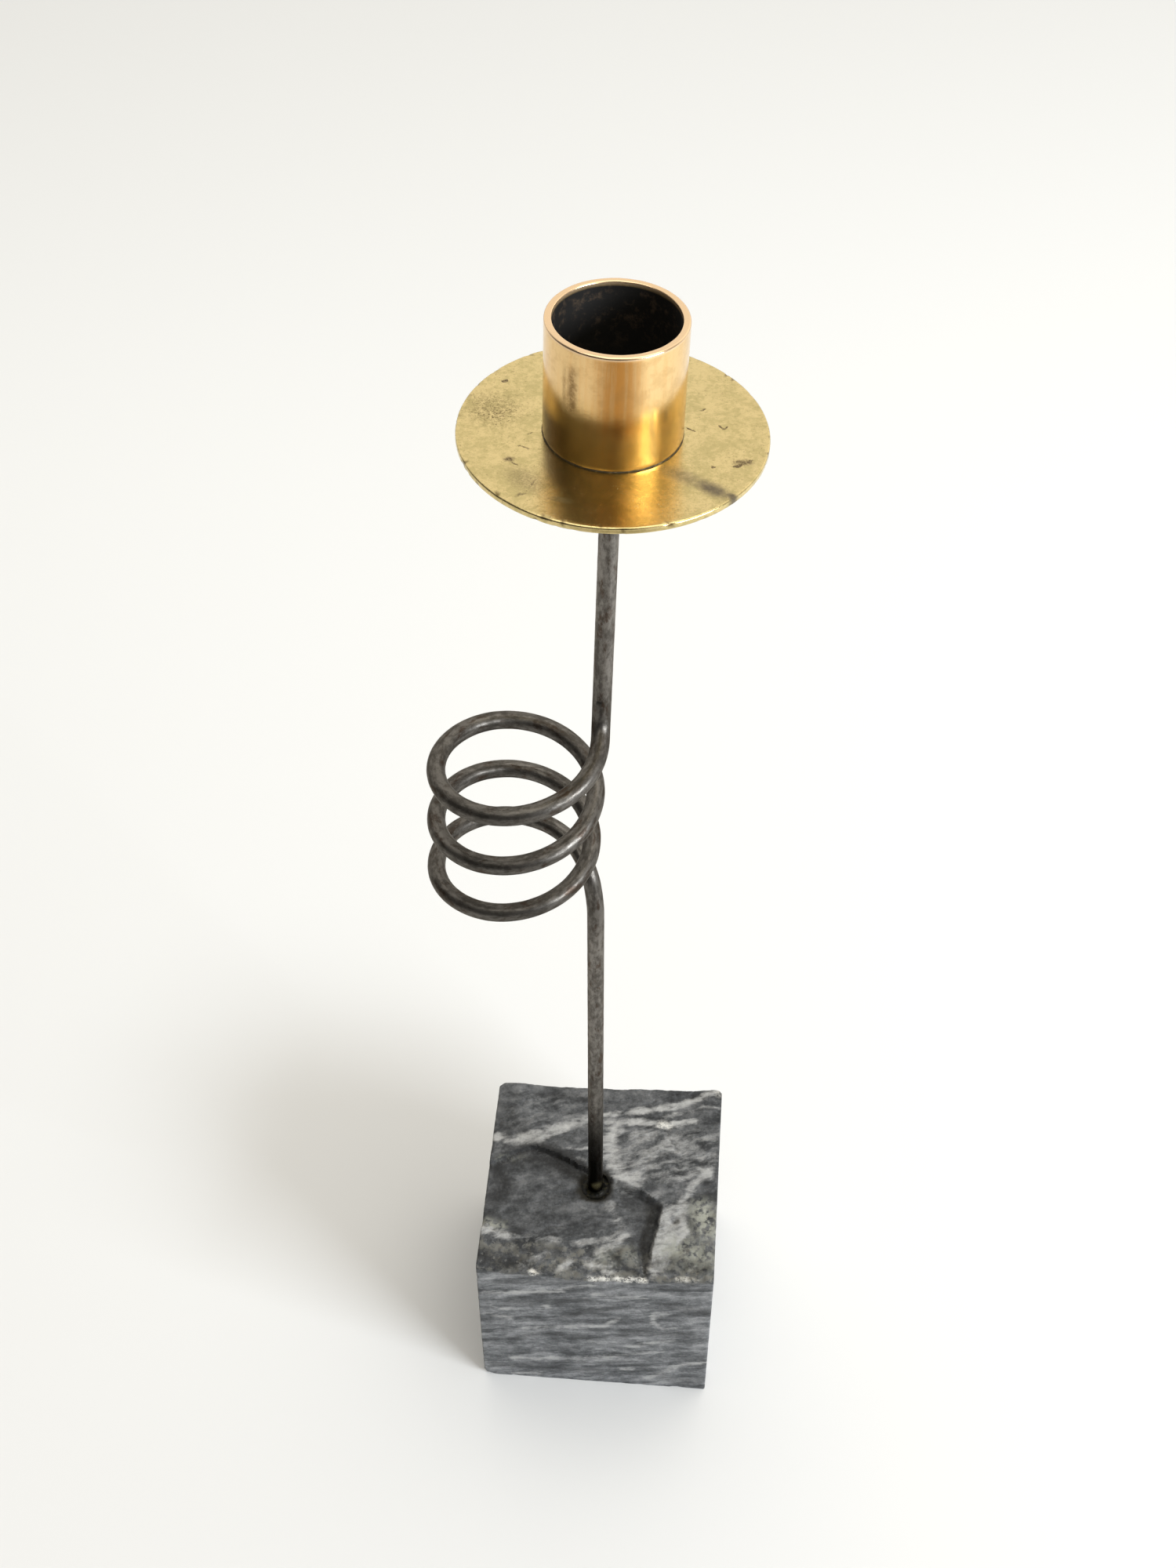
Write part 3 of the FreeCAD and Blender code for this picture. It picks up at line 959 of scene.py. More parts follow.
@dataclass(frozen=True)
class PanBrass(Finish):
    """Satin aged brass: fine scratches, specks and stains, a smear at the front right, soot in the cup."""

    name: str = "pan_brass"
    metal: Colour = (0.78, 0.62, 0.30)
    olive: Colour = (0.60, 0.49, 0.22)
    tarnish: Colour = (0.13, 0.085, 0.035)
    smoke: Colour = (0.15, 0.12, 0.075)
    blotches: tuple[Blotch, ...] = (
        Blotch(-20.3, 12.6, 0.75, 0.55, 20, 1.0, CRISP),
        Blotch(-17.1, -10.3, 1.5, 1.1, 10, 0.95),
        Blotch(-16.0, -11.5, 0.9, 0.24, -40, 0.8, CRISP),
        Blotch(-12.3, -16.6, 1.1, 0.22, 70, 0.8, CRISP),
        Blotch(-15.0, -6.7, 1.4, 0.16, -20, 0.75, CRISP),
        Blotch(-14.3, -2.7, 0.7, 0.18, 45, 0.75, CRISP),
        Blotch(-14.1, -19.8, 1.6, 0.6, 30, 0.7),
        Blotch(13.5, 1.6, 1.2, 0.28, -35, 0.95, CRISP),
        Blotch(22.9, -6.8, 2.6, 1.3, 5, 0.95),
        Blotch(22.0, -7.9, 1.1, 0.5, 30, 1.0, CRISP),
        Blotch(24.0, -6.4, 0.6, 0.4, 60, 1.0, CRISP),
        Blotch(17.8, -8.7, 0.5, 0.35, 0, 0.9, CRISP),
        Blotch(15.4, 7.8, 0.8, 0.24, 30, 0.9, CRISP),
        Blotch(18.8, 3.0, 0.9, 0.22, -50, 0.9, CRISP),
        Blotch(19.5, 2.8, 0.8, 0.22, 40, 0.9, CRISP),
        Blotch(-8.0, -20.5, 3.5, 1.2, -10, 0.45),
        Blotch(-13.5, -16.0, 7.0, 4.0, -40, 0.42),
    )
    smears: tuple[Blotch, ...] = (
        Blotch(13.0, -12.0, 6.5, 2.8, -29, 0.6),
        Blotch(17.8, -14.8, 6.0, 2.6, -32, 1.0),
        Blotch(21.4, -16.8, 3.0, 1.5, -38, 1.0),
        Blotch(0.0, 0.0, 12.0, 12.0, 0, 0.97, CRISP),
    )

    def paint(self, recipe: Recipe, place: Shade) -> None:
        """Fill the node tree.

        Args:
            recipe: The tree to fill.
            place: The surface's own place in millimetres, from the middle of the pan's top.
        """
        clouds = recipe.noise(place, 6.0, detail=4.0, roughness=0.6)
        mottle = recipe.noise(place, 1.1, detail=4.0, roughness=0.7)
        dust = recipe.noise(place, 0.42, detail=4.0, roughness=0.8)
        where = recipe.ease(recipe.noise(place, 8.0, detail=2.0), 0.42, 0.66)
        cloud = recipe.spot(place, (-21.5, 4.0, 0.0), 8.0, 0.9)
        freckles = recipe.ease(dust + cloud * 0.07, 0.565, 0.66) * (0.30 + where * 0.50 + cloud * 0.50)
        flecks = recipe.ease(recipe.noise(place, 0.9, detail=5.0, roughness=0.85), 0.585, 0.66)
        hairs = self._hairs(recipe, place)
        ragged = recipe.stray(place, grain=0.9, reach=1.1)
        marks = reduce(Shade.greater_of, [mark.cover(recipe, ragged) for mark in self.blotches])
        smear = reduce(Shade.greater_of, [mark.cover(recipe, ragged) for mark in self.smears])
        smear = smear * (0.65 + mottle * 0.6)
        colour = recipe.layers(
            self.metal,
            (recipe.ease(clouds * 0.5 + mottle * 0.5, 0.42, 0.59), self.olive),
            (freckles * 0.80, self.tarnish),
            (flecks * (0.25 + where * 0.25 + cloud * 0.45), self.tarnish),
            (cloud * recipe.ease(mottle, 0.35, 0.62) * 0.30, self.tarnish),
            (hairs * 0.75, self.tarnish),
            (marks * (0.55 + recipe.ease(dust, 0.40, 0.56) * 0.60), self.tarnish),
            (smear, self.smoke),
            (recipe.attribute("nick") * 0.85, self.tarnish),
        )
        brushing = recipe.noise(recipe.stretch(place, (0.35, 1.6, 1.0)), 0.5, detail=4.0, roughness=0.7)
        relief = recipe.bump(brushing * 0.22 + dust * 0.5 + hairs * 0.4, 0.028)
        roughness = 0.13 + mottle * 0.12 + freckles * 0.15 + smear * 0.15
        recipe.finish(colour, roughness, relief, metallic=1.0 - marks * 0.3 - smear * 0.25)

    def _hairs(self, recipe: Recipe, place: Shade) -> Shade:
        """Short fine scratches that lie every way.

        Args:
            recipe: The tree to fill.
            place: The place in millimetres.

        Returns:
            A number from zero to one.
        """
        lays = []
        for turn, seed in ((0.5, 11.0), (1.7, 23.0), (2.6, 37.0)):
            turned = recipe.seen_from(place, (seed, seed, 0.0), (0.0, 0.0, turn), (3.2, 0.5, THROUGH))
            cells = recipe.node("ShaderNodeTexVoronoi", None, {"Vector": turned, "Scale": 1.0})
            lays.append(recipe.ease(cells, 0.085, 0.03))
        return reduce(Shade.greater_of, lays)


@dataclass(frozen=True)
class CupBrass(Finish):
    """Brass polished by handling, pink towards the mouth, drawn lengthwise, and sooted inside."""

    name: str = "cup_brass"
    gold: Colour = (0.84, 0.57, 0.22)
    pink: Colour = (0.88, 0.62, 0.31)
    copper: Colour = (0.80, 0.38, 0.095)
    lip: Colour = (0.90, 0.65, 0.40)
    tawny: Colour = (0.52, 0.30, 0.105)
    tarnish: Colour = (0.20, 0.11, 0.04)
    bronze: Colour = (0.085, 0.044, 0.020)
    soot: Colour = (0.006, 0.005, 0.004)
    ember: Colour = (0.060, 0.040, 0.024)

    def paint(self, recipe: Recipe, place: Shade) -> None:
        """Fill the node tree.

        Args:
            recipe: The tree to fill.
            place: The surface's own place in millimetres, from the middle of the pan's top.
        """
        right, back, height = recipe.split(place)
        inputs = {0: right, 1: 0.0 - back}
        angle = recipe.node("ShaderNodeMath", {"operation": "ARCTAN2"}, inputs)
        drawn = recipe.noise(recipe.stretch(place, (1.0, 1.0, 0.05)), 0.9, detail=5.0, roughness=0.65)
        mottle = recipe.noise(place, 1.3, detail=5.0, roughness=0.7)
        dust = recipe.noise(place, 0.35, detail=4.0, roughness=0.8)
        # The upper wall is paler and pinker: partly the brass's own tint, partly a painted reflection.
        aloft = recipe.ease(height + mottle * 3.0, 9.5, 17.0)
        low = recipe.ease(height + mottle * 2.0, 10.5, 6.5)
        # Painted reflection: an orange-copper band down the front of the wall.
        orange = self._band(recipe, angle, 5.0, 29.0) * (0.60 + recipe.ease(drawn, 0.40, 0.60) * 0.40)
        upper = recipe.ease(height, 9.0, 11.5) * recipe.ease(height, 20.6, 17.5)
        haze = recipe.ease(recipe.noise(place, 2.6, detail=6.0, roughness=0.75), 0.44, 0.62)
        # Painted reflection: dark upright streaks on the upper wall, left of the front, laid in the tarnish
        # colour.
        left_streak = self._band(recipe, angle, -40.0, 3.5) * 0.5
        streaks = left_streak.greater_of(self._band(recipe, angle, -32.0, 8.0))
        streaks = streaks * upper * (0.5 + recipe.ease(mottle, 0.36, 0.58) * 0.5)
        # Partly tarnish and partly painted shade: the lower wall darkened towards bronze, most on its left
        # side.
        brown = low * (0.12 + self._band(recipe, angle, -62.0, 46.0) * 0.88)
        freckles = recipe.ease(dust, 0.62, 0.70) * recipe.ease(recipe.noise(place, 4.0), 0.44, 0.60)
        smudge = recipe.noise(place, 2.4, detail=5.0, roughness=0.75)
        ash = recipe.ease(smudge, 0.50, 0.68) * recipe.ease(height, 6.0, 17.0)
        sooted = recipe.attribute("soot")
        colour = recipe.layers(
            self.gold,
            (aloft * 0.8, self.pink),
            (recipe.ease(drawn, 0.50, 0.66) * 0.18, self.copper),
            (orange * (1.0 - low * 0.65), self.copper),
            (haze * 0.30, self.tawny),
            (streaks * 0.72, self.tarnish),
            (brown, self.bronze),
            (recipe.ease(height, 22.0, 22.5), self.lip),
            (freckles * 0.55, self.tarnish),
            (sooted, recipe.mix(ash, self.soot, self.ember)),
        )
        ripples = recipe.noise(recipe.stretch(place, (0.5, 0.5, 1.6)), 1.2, detail=3.0)
        relief = recipe.bump(drawn * 0.16 + dust * 0.24 + mottle * 0.25 + ripples * low * 0.4, 0.022)
        roughness = 0.13 + mottle * 0.08 + streaks * 0.2 + low * 0.07 + sooted * 0.5
        recipe.finish(colour, roughness, relief, metallic=1.0 - sooted * 0.9)

    def _band(self, recipe: Recipe, angle: Shade, middle: float, half_width: float) -> Shade:
        """An upright band on the wall.

        Args:
            recipe: The tree to fill.
            angle: The angle round the cup from its front towards the right, in radians.
            middle: The band's own angle in degrees.
            half_width: Half its width in degrees.

        Returns:
            A number from zero to one.
        """
        off = (angle - math.radians(middle)).size()
        return recipe.ease(off, math.radians(half_width), 0.0)


@dataclass(frozen=True)
class TableTop(Finish):
    """The plain pale table under the holder: painted shade towards the viewer, painted light further back.
    """

    name: str = "table_top"
    colour: Colour = (0.78, 0.78, 0.775)
    far_colour: Colour = (0.925, 0.935, 0.935)
    shaded_colour: Colour = (0.40, 0.385, 0.36)

    def paint(self, recipe: Recipe, place: Shade) -> None:
        """Fill the node tree.

        Args:
            recipe: The tree to fill.
            place: The surface's own place in millimetres.
        """
        # Painted shadow: a broad dark pool on the table in front of the holder, towards the viewer.
        shaded = recipe.spot(place, (70.0, -470.0, 0.0), 420.0, 0.75)
        _, back, _ = recipe.split(place)
        # Painted light: the table is painted paler further back.
        far = recipe.ease(back, -250.0, 450.0)
        colour = recipe.layers(self.colour, (far, self.far_colour), (shaded, self.shaded_colour))
        recipe.finish(colour, 0.85, specular=0.2)


# Pieces


@dataclass
class Piece:
    """One piece of the holder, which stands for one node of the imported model."""

    label: str
    node: str
    slot: str
    finish: Finish
    seat: Matrix | None = None

    def shape(self) -> bpy.types.Object:
        """Model the piece.

        Returns:
            The mesh, in place.
        """
        raise NotImplementedError(self.label)

    def make(self) -> bpy.types.Object:
        """Model the piece, dress it, and let it stand for its node.

        Returns:
            The finished piece.
        """
        piece = self.shape()
        piece.name = self.label
        piece.data.name = self.label
        piece.data.materials.clear()
        piece.data.materials.append(self.finish.mix_up(self.seat))
        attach(piece, ROOT_BODY)
        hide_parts(self.node)
        triangles = sum(len(face.vertices) - 2 for face in piece.data.polygons)
        log.info("%s: %d triangles, stands for %s", self.label, triangles, self.node)
        return piece


@dataclass(frozen=True)
class Corner:
    """A corner of a half section: its radius and height, and how far and how finely it is rounded."""

    radius: float
    height: float
    rounding: float = 0.0
    segments: int = 4

    def place(self) -> Vector:
        """The corner in metres, on the half plane to the right of the axis."""
        return Vector((self.radius * MM, 0.0, self.height * MM))


def candle_bore() -> dict[str, object]:
    """The record's mount for the candle."""
    return next(mount for mount in frame["record"]["mounts"] if mount["name"] == "candle_bore")


def lean_way() -> Vector:
    """The direction in which the pan and the cup lean, from the record's candle bore."""
    return Vector(candle_bore()["axis"]).normalized()


def pan_seat() -> Matrix:
    """The middle of the pan's top, turned to its lean.

    Returns:
        A matrix that stands an upright turned piece in its place.
    """
    lean = lean_way()
    below_middle = SHARED.film + SHARED.cup_height / 2
    place = Vector(candle_bore()["pos_m"]) - lean * below_middle * MM
    return Matrix.Translation(place) @ UP.rotation_difference(lean).to_matrix().to_4x4()


@dataclass
class TurnedPiece(Piece):
    """A piece turned on the lathe: a half section spun round the upright axis, then stood in place."""

    seat: Matrix | None = field(default_factory=pan_seat)
    steps: int = 96
    longest: float = 1.0

    def section(self) -> list[Corner]:
        """The corners of the half section, in order.

        Returns:
            A list of corners that closes on itself.
        """
        raise NotImplementedError(self.label)

    def work(self, piece: bpy.types.Object) -> None:
        """Wear the turned mesh as hands and tools leave it.

        Args:
            piece: The mesh, upright about the origin.
        """
        raise NotImplementedError(self.label)

    def shape(self) -> bpy.types.Object:
        """Turn the piece, work it over, and put its seat's place and lean into the mesh.

        Returns:
            The mesh, in place.
        """
        piece = self.turn()
        self.work(piece)
        piece.matrix_world = self.seat
        take_up(piece)
        bpy.ops.object.transform_apply(location=True, rotation=True, scale=True)
        return piece

    def turn(self) -> bpy.types.Object:
        """Draw the half section, round its corners and spin it.

        Returns:
            The turned mesh, upright about the origin.
        """
        corners = self.section()
        bpy.ops.mesh.primitive_circle_add(vertices=len(corners), radius=MM)
        piece = bpy.context.object
        for vertex, corner in zip(piece.data.vertices, corners):
            vertex.co = corner.place()
        open_up(piece)
        bpy.ops.mesh.edge_face_add()
        for corner in corners:
            if corner.rounding > 0:
                self._round(piece, corner)
        bpy.ops.mesh.select_mode(type="VERT")
        bpy.ops.mesh.select_all(action="SELECT")
        bpy.ops.mesh.delete(type="ONLY_FACE")
        on_axis = MERGE_DISTANCE
        if pick_edges(piece, lambda a, b: a.x < on_axis and b.x < on_axis):
            bpy.ops.mesh.delete(type="EDGE")
        while pick_edges(piece, lambda a, b: (a - b).length > self.longest * MM):
            bpy.ops.mesh.subdivide(number_cuts=1)
        bpy.ops.mesh.select_all(action="SELECT")
        bpy.ops.mesh.spin(steps=self.steps, angle=math.tau, center=(0, 0, 0), axis=(0, 0, 1))
        bpy.ops.object.mode_set(mode="OBJECT")
        close_up(piece)
        return piece

    def _round(self, piece: bpy.types.Object, corner: Corner) -> None:
        """Round one corner of the half section, in edit mode."""
        pick_vertices(piece, lambda place: (place - corner.place()).length < MERGE_DISTANCE)
        bpy.ops.mesh.bevel(offset=corner.rounding * MM, segments=corner.segments, affect="VERTICES")


class BlockFace(Enum):
    """The face of the block that a stroke is drawn on, by its two coordinates."""

    TOP = (0, 1)
    FRONT = (0, 2)


FRONT = BlockFace.FRONT


@dataclass(frozen=True)
class Stroke:
    """A streak or patch in the stone: its line or outline, half its width or its edge, and its strength."""

    points: Points
    half_width: float
    strength: float = 1.0
    face: BlockFace = BlockFace.TOP
    filled: bool = False

    def distance(self, plan: np.ndarray) -> np.ndarray:
        """Distance of each place on the face to the line, or to the filled outline."""
        return outline_distance(plan, self.points) if self.filled else line_distance(plan, self.points)


@dataclass(frozen=True)
class Chip:
    """A place where an arris has broken away: its middle, its length along the arris and its depth."""

    right: float
    back: float
    height: float
    length: float
    depth: float


PALE_STROKES = (
    Stroke(((-28.4, 10.5), (-24.1, 9.8), (-18.3, 11.8), (-12.2, 15.0), (-5.1, 17.9)), 1.5, 0.92),
    Stroke(((-11.1, 8.1), (-4.8, 8.6)), 0.6, 0.5),
    Stroke(((-8.0, 5.9), (-4.9, 5.2)), 0.6, 0.5),
    Stroke(((-0.9, 19.7), (8.0, 21.4), (13.5, 22.4), (19.9, 23.9), (27.1, 27.3), (29.7, 28.3)), 0.9, 0.75),
    Stroke(((-0.3, 17.0), (8.6, 17.9), (16.0, 17.0), (23.2, 18.8)), 0.9, 0.95),
    Stroke(((15.8, 19.8), (25.1, 23.3), (29.4, 22.9)), 0.6, 0.6),
    Stroke(((1.9, 16.1), (1.4, 11.6), (1.9, 7.2), (3.7, 2.9), (4.3, 0.0), (7.7, -0.7)), 2.5, 0.90),
    Stroke(((7.7, -0.7), (12.5, -3.0), (16.5, -5.0)), 1.4, 0.22),
    Stroke(((5.0, 3.0), (11.4, 1.6)), 1.6, 0.35),
    Stroke(((3.5, 11.8), (7.6, 13.6)), 0.7, 0.4),
    Stroke(((23.1, 10.8), (26.5, 11.1)), 0.6, 0.4),
    Stroke(((27.2, 3.3), (23.7, -1.3), (21.0, -6.8), (22.0, -10.9), (21.8, -15.1)), 1.3, 0.75),
    Stroke(((21.8, -15.1), (19.6, -19.5), (17.0, -23.8), (14.3, -26.7)), 1.2, 0.75),
    Stroke(
        (
            (17.2, -7.6), (20.5, -6.3), (22.3, -9.5), (22.2, -14.0), (20.0, -19.0), (17.4, -23.6),
            (14.5, -27.0), (13.4, -26.0), (14.2, -21.5), (15.0, -16.5), (15.8, -12.0),
        ),
        0.9, 0.68, filled=True,
    ),
    Stroke(((-29.6, -16.6), (-26.5, -17.4), (-23.4, -18.4)), 1.5, 0.7),
    Stroke(((-23.4, -18.4), (-12.1, -18.1), (-4.2, -18.6)), 0.9, 0.38),
    Stroke(((-4.2, -18.6), (1.0, -17.7), (5.3, -14.6)), 1.1, 0.5),
    Stroke(((2.4, -6.5), (4.3, -11.0), (6.6, -16.0), (3.2, -19.6), (0.8, -22.0)), 1.7, 0.48),
    Stroke(((-18.6, -26.6), (-13.0, -22.0)), 1.0, 0.5),
    Stroke(((1.5, -6.9), (3.8, -10.0), (4.8, -13.2)), 0.9, 0.4),
    Stroke(((-4.7, -8.3), (-2.5, -9.1)), 0.6, 0.4),
    Stroke(((4.0, 6.0), (15.0, 0.0), (28.0, 1.0), (29.0, 15.0), (4.0, 14.5)), 1.5, 0.30, filled=True),
    Stroke(
        ((-27.0, 14.0), (-8.0, 19.0), (-2.0, 12.0), (-4.0, 26.0), (-26.0, 25.0)),
        1.5, 0.16, filled=True,
    ),
    Stroke(((-9.0, -26.5), (-6.5, -24.5)), 1.1, 0.55),
    Stroke(((-2.0, -24.0), (4.0, -26.0)), 1.3, 0.60),
    Stroke(((-28.8, 45.3), (-15.9, 47.4), (-8.5, 48.9)), 0.9, 0.75, FRONT),
    Stroke(((-7.9, 50.3), (1.4, 54.4)), 0.8, 0.5, FRONT),
    Stroke(((-18.4, 27.9), (-4.0, 30.1), (2.8, 31.9), (6.2, 36.6)), 0.9, 0.60, FRONT),
    Stroke(((15.6, 40.8), (15.4, 35.2), (17.8, 32.7), (21.2, 33.9)), 0.8, 0.66, FRONT),
    Stroke(((15.0, 39.3), (19.0, 40.6)), 0.8, 0.6, FRONT),
    Stroke(((-22.4, 10.4), (-4.1, 12.6), (7.1, 16.5), (18.8, 20.6)), 0.9, 0.62, FRONT),
    Stroke(((-28.5, 34.2), (-21.8, 32.4)), 1.0, 0.55, FRONT),
    Stroke(((-27.0, 38.6), (-23.0, 37.1)), 0.9, 0.5, FRONT),
    Stroke(((14.3, 4.1), (23.2, 13.1), (30.0, 15.7)), 1.0, 0.62, FRONT),
    Stroke(((7.2, 8.3), (10.7, 8.9)), 0.8, 0.7, FRONT),
    Stroke(((-12.4, 40.1),), 1.0, 0.9, FRONT),
    Stroke(((-1.3, 23.3), (2.2, 22.4)), 0.6, 0.6, FRONT),
    Stroke(((9.1, 21.3), (20.7, 26.7)), 1.0, 0.75, FRONT),
    Stroke(((-22.0, 1.4), (-14.1, 2.6)), 0.9, 0.8, FRONT),
    Stroke(((0.1, 48.1), (12.8, 48.6)), 0.9, 0.65, FRONT),
)

# Dark strokes: on the top, mostly painted shade along the shelf's ledge, on the notch, round the lump, in
# the hollow and in crumbly gaps; on the front, dark bands in the stone.
DARK_STROKES = (
    Stroke(((-28.9, 1.4), (-24.2, 5.9), (-19.3, 7.9), (-15.8, 7.9), (-12.3, 6.2)), 1.8, 0.95),
    Stroke(((-12.3, 6.2), (-8.4, 5.2), (-6.0, 2.7), (-4.2, 0.6)), 2.0, 0.98),
    Stroke(((-26.5, 3.2), (-21.0, 5.0), (-16.0, 5.6), (-12.0, 4.0), (-8.0, 1.8)), 1.7, 0.85),
    Stroke(((-27.9, 1.4), (-25.0, -3.2), (-27.2, -7.2)), 2.7, 1.0),
    Stroke(((-27.5, 20.5), (-24.0, 15.5), (-26.5, 12.5)), 1.6, 0.55),
    Stroke(((-19.0, 25.5), (-9.0, 26.0), (-2.5, 22.0)), 1.6, 0.4),
    Stroke(((-29.0, -11.2), (-25.8, -13.3), (-20.1, -16.1)), 1.2, 0.6),
    Stroke(((-29.9, -24.3), (-24.4, -26.1), (-17.0, -25.5)), 2.2, 0.95),
    Stroke(((-22.6, -23.7), (-16.6, -22.3), (-10.0, -21.5)), 1.3, 0.6),
    Stroke(((15.5, -24.0), (20.0, -22.5), (27.5, -24.5)), 1.5, 0.6),
    Stroke(
        (
            (4.4, -0.9), (7.8, -2.6), (11.8, -5.1), (16.0, -7.2), (14.7, -12.0), (14.1, -17.1),
            (13.2, -21.8), (12.6, -25.5), (10.8, -22.4), (9.0, -19.4), (9.7, -14.7), (10.0, -10.5),
            (6.4, -6.5), (4.6, -3.8),
        ),
        0.7, 0.54, filled=True,
    ),
    Stroke(
        ((-24.0, -14.0), (-20.0, 5.0), (-9.0, 3.0), (-1.0, -2.0), (3.0, -8.0), (-2.0, -15.0)),
        2.0, 0.22, filled=True,
    ),
    Stroke(((13.9, -8.2), (13.3, -11.0)), 1.6, 0.9),
    Stroke(((12.0, -14.0), (11.6, -18.0), (12.2, -23.5)), 1.5, 0.95),
    Stroke(((3.3, -20.8), (5.5, -22.9), (8.5, -25.3), (12.3, -27.1)), 0.7, 0.7),
    Stroke(((-28.9, 26.5), (-25.2, 24.2)), 1.4, 0.5),
    Stroke(((-28.0, 14.3), (-21.8, 12.8)), 0.9, 0.5),
    Stroke(((-30.0, 18.2), (-28.1, 15.3)), 1.0, 0.5),
    Stroke(((26.1, 0.8), (30.1, -5.1)), 1.3, 0.5),
    Stroke(((22.4, -10.0), (24.6, -13.5)), 0.8, 0.6),
    Stroke(((19.5, -11.5),), 0.9, 0.8),
    Stroke(((-22.1, 21.6), (-13.7, 25.8), (-4.0, 25.8)), 1.1, 0.45, FRONT),
    Stroke(((-7.4, 36.0), (4.8, 42.0)), 1.5, 0.50, FRONT),
    Stroke(((-18.2, 8.1), (-4.1, 10.3), (9.9, 13.3)), 0.7, 0.50, FRONT),
    Stroke(((-13.1, 17.8), (-4.1, 18.5)), 0.8, 0.45, FRONT),
    Stroke(((-25.0, 51.0), (-14.0, 53.0), (-6.0, 53.5)), 1.1, 0.40, FRONT),
    Stroke(((-22.0, 41.5), (-12.0, 43.5), (-2.0, 45.0)), 1.4, 0.50, FRONT),
    Stroke(((20.0, 45.0), (29.0, 43.0)), 1.8, 0.5, FRONT),
    Stroke(((8.0, 28.5), (14.0, 30.0), (25.0, 30.5)), 1.5, 0.5, FRONT),
    Stroke(((-27.0, 6.0), (-16.0, 5.5), (2.0, 6.5)), 1.4, 0.5, FRONT),
    Stroke(((12.0, 11.5), (20.0, 5.0), (28.0, 4.0)), 1.5, 0.45, FRONT),
)

CHALK_STROKES = (
    Stroke(((-1.0, -28.3), (6.0, -28.0), (13.0, -28.3)), 0.62, 1.0),
    Stroke(((-15.6, -28.2),), 0.8, 1.0),
    Stroke(((14.3, 17.2), (16.4, 17.0)), 0.9, 0.8),
    Stroke(((29.4, 27.6),), 1.0, 0.5),
    Stroke(((21.2, -27.6), (26.0, -28.1)), 0.5, 0.5),
)

MOSS_STROKES = (
    Stroke(((26.5, -8.5), (27.4, -13.0)), 3.2, 1.0),
    Stroke(((20.5, -20.0), (26.5, -21.5)), 4.0, 0.8),
    Stroke(((-27.8, 4.3), (-21.1, 5.4)), 0.8, 0.7),
    Stroke(((-29.0, -14.6), (-24.5, -15.2)), 1.2, 0.8),
    Stroke(((2.5, -22.5), (9.5, -20.8)), 2.2, 0.4),
)


STROKES = {"vein": PALE_STROKES, "shade": DARK_STROKES, "chalk": CHALK_STROKES, "moss": MOSS_STROKES}

# The block's right and back sides and its plain top, in millimetres.
RIGHT = 30.15
BACK = 28.5
TOP = 57.5


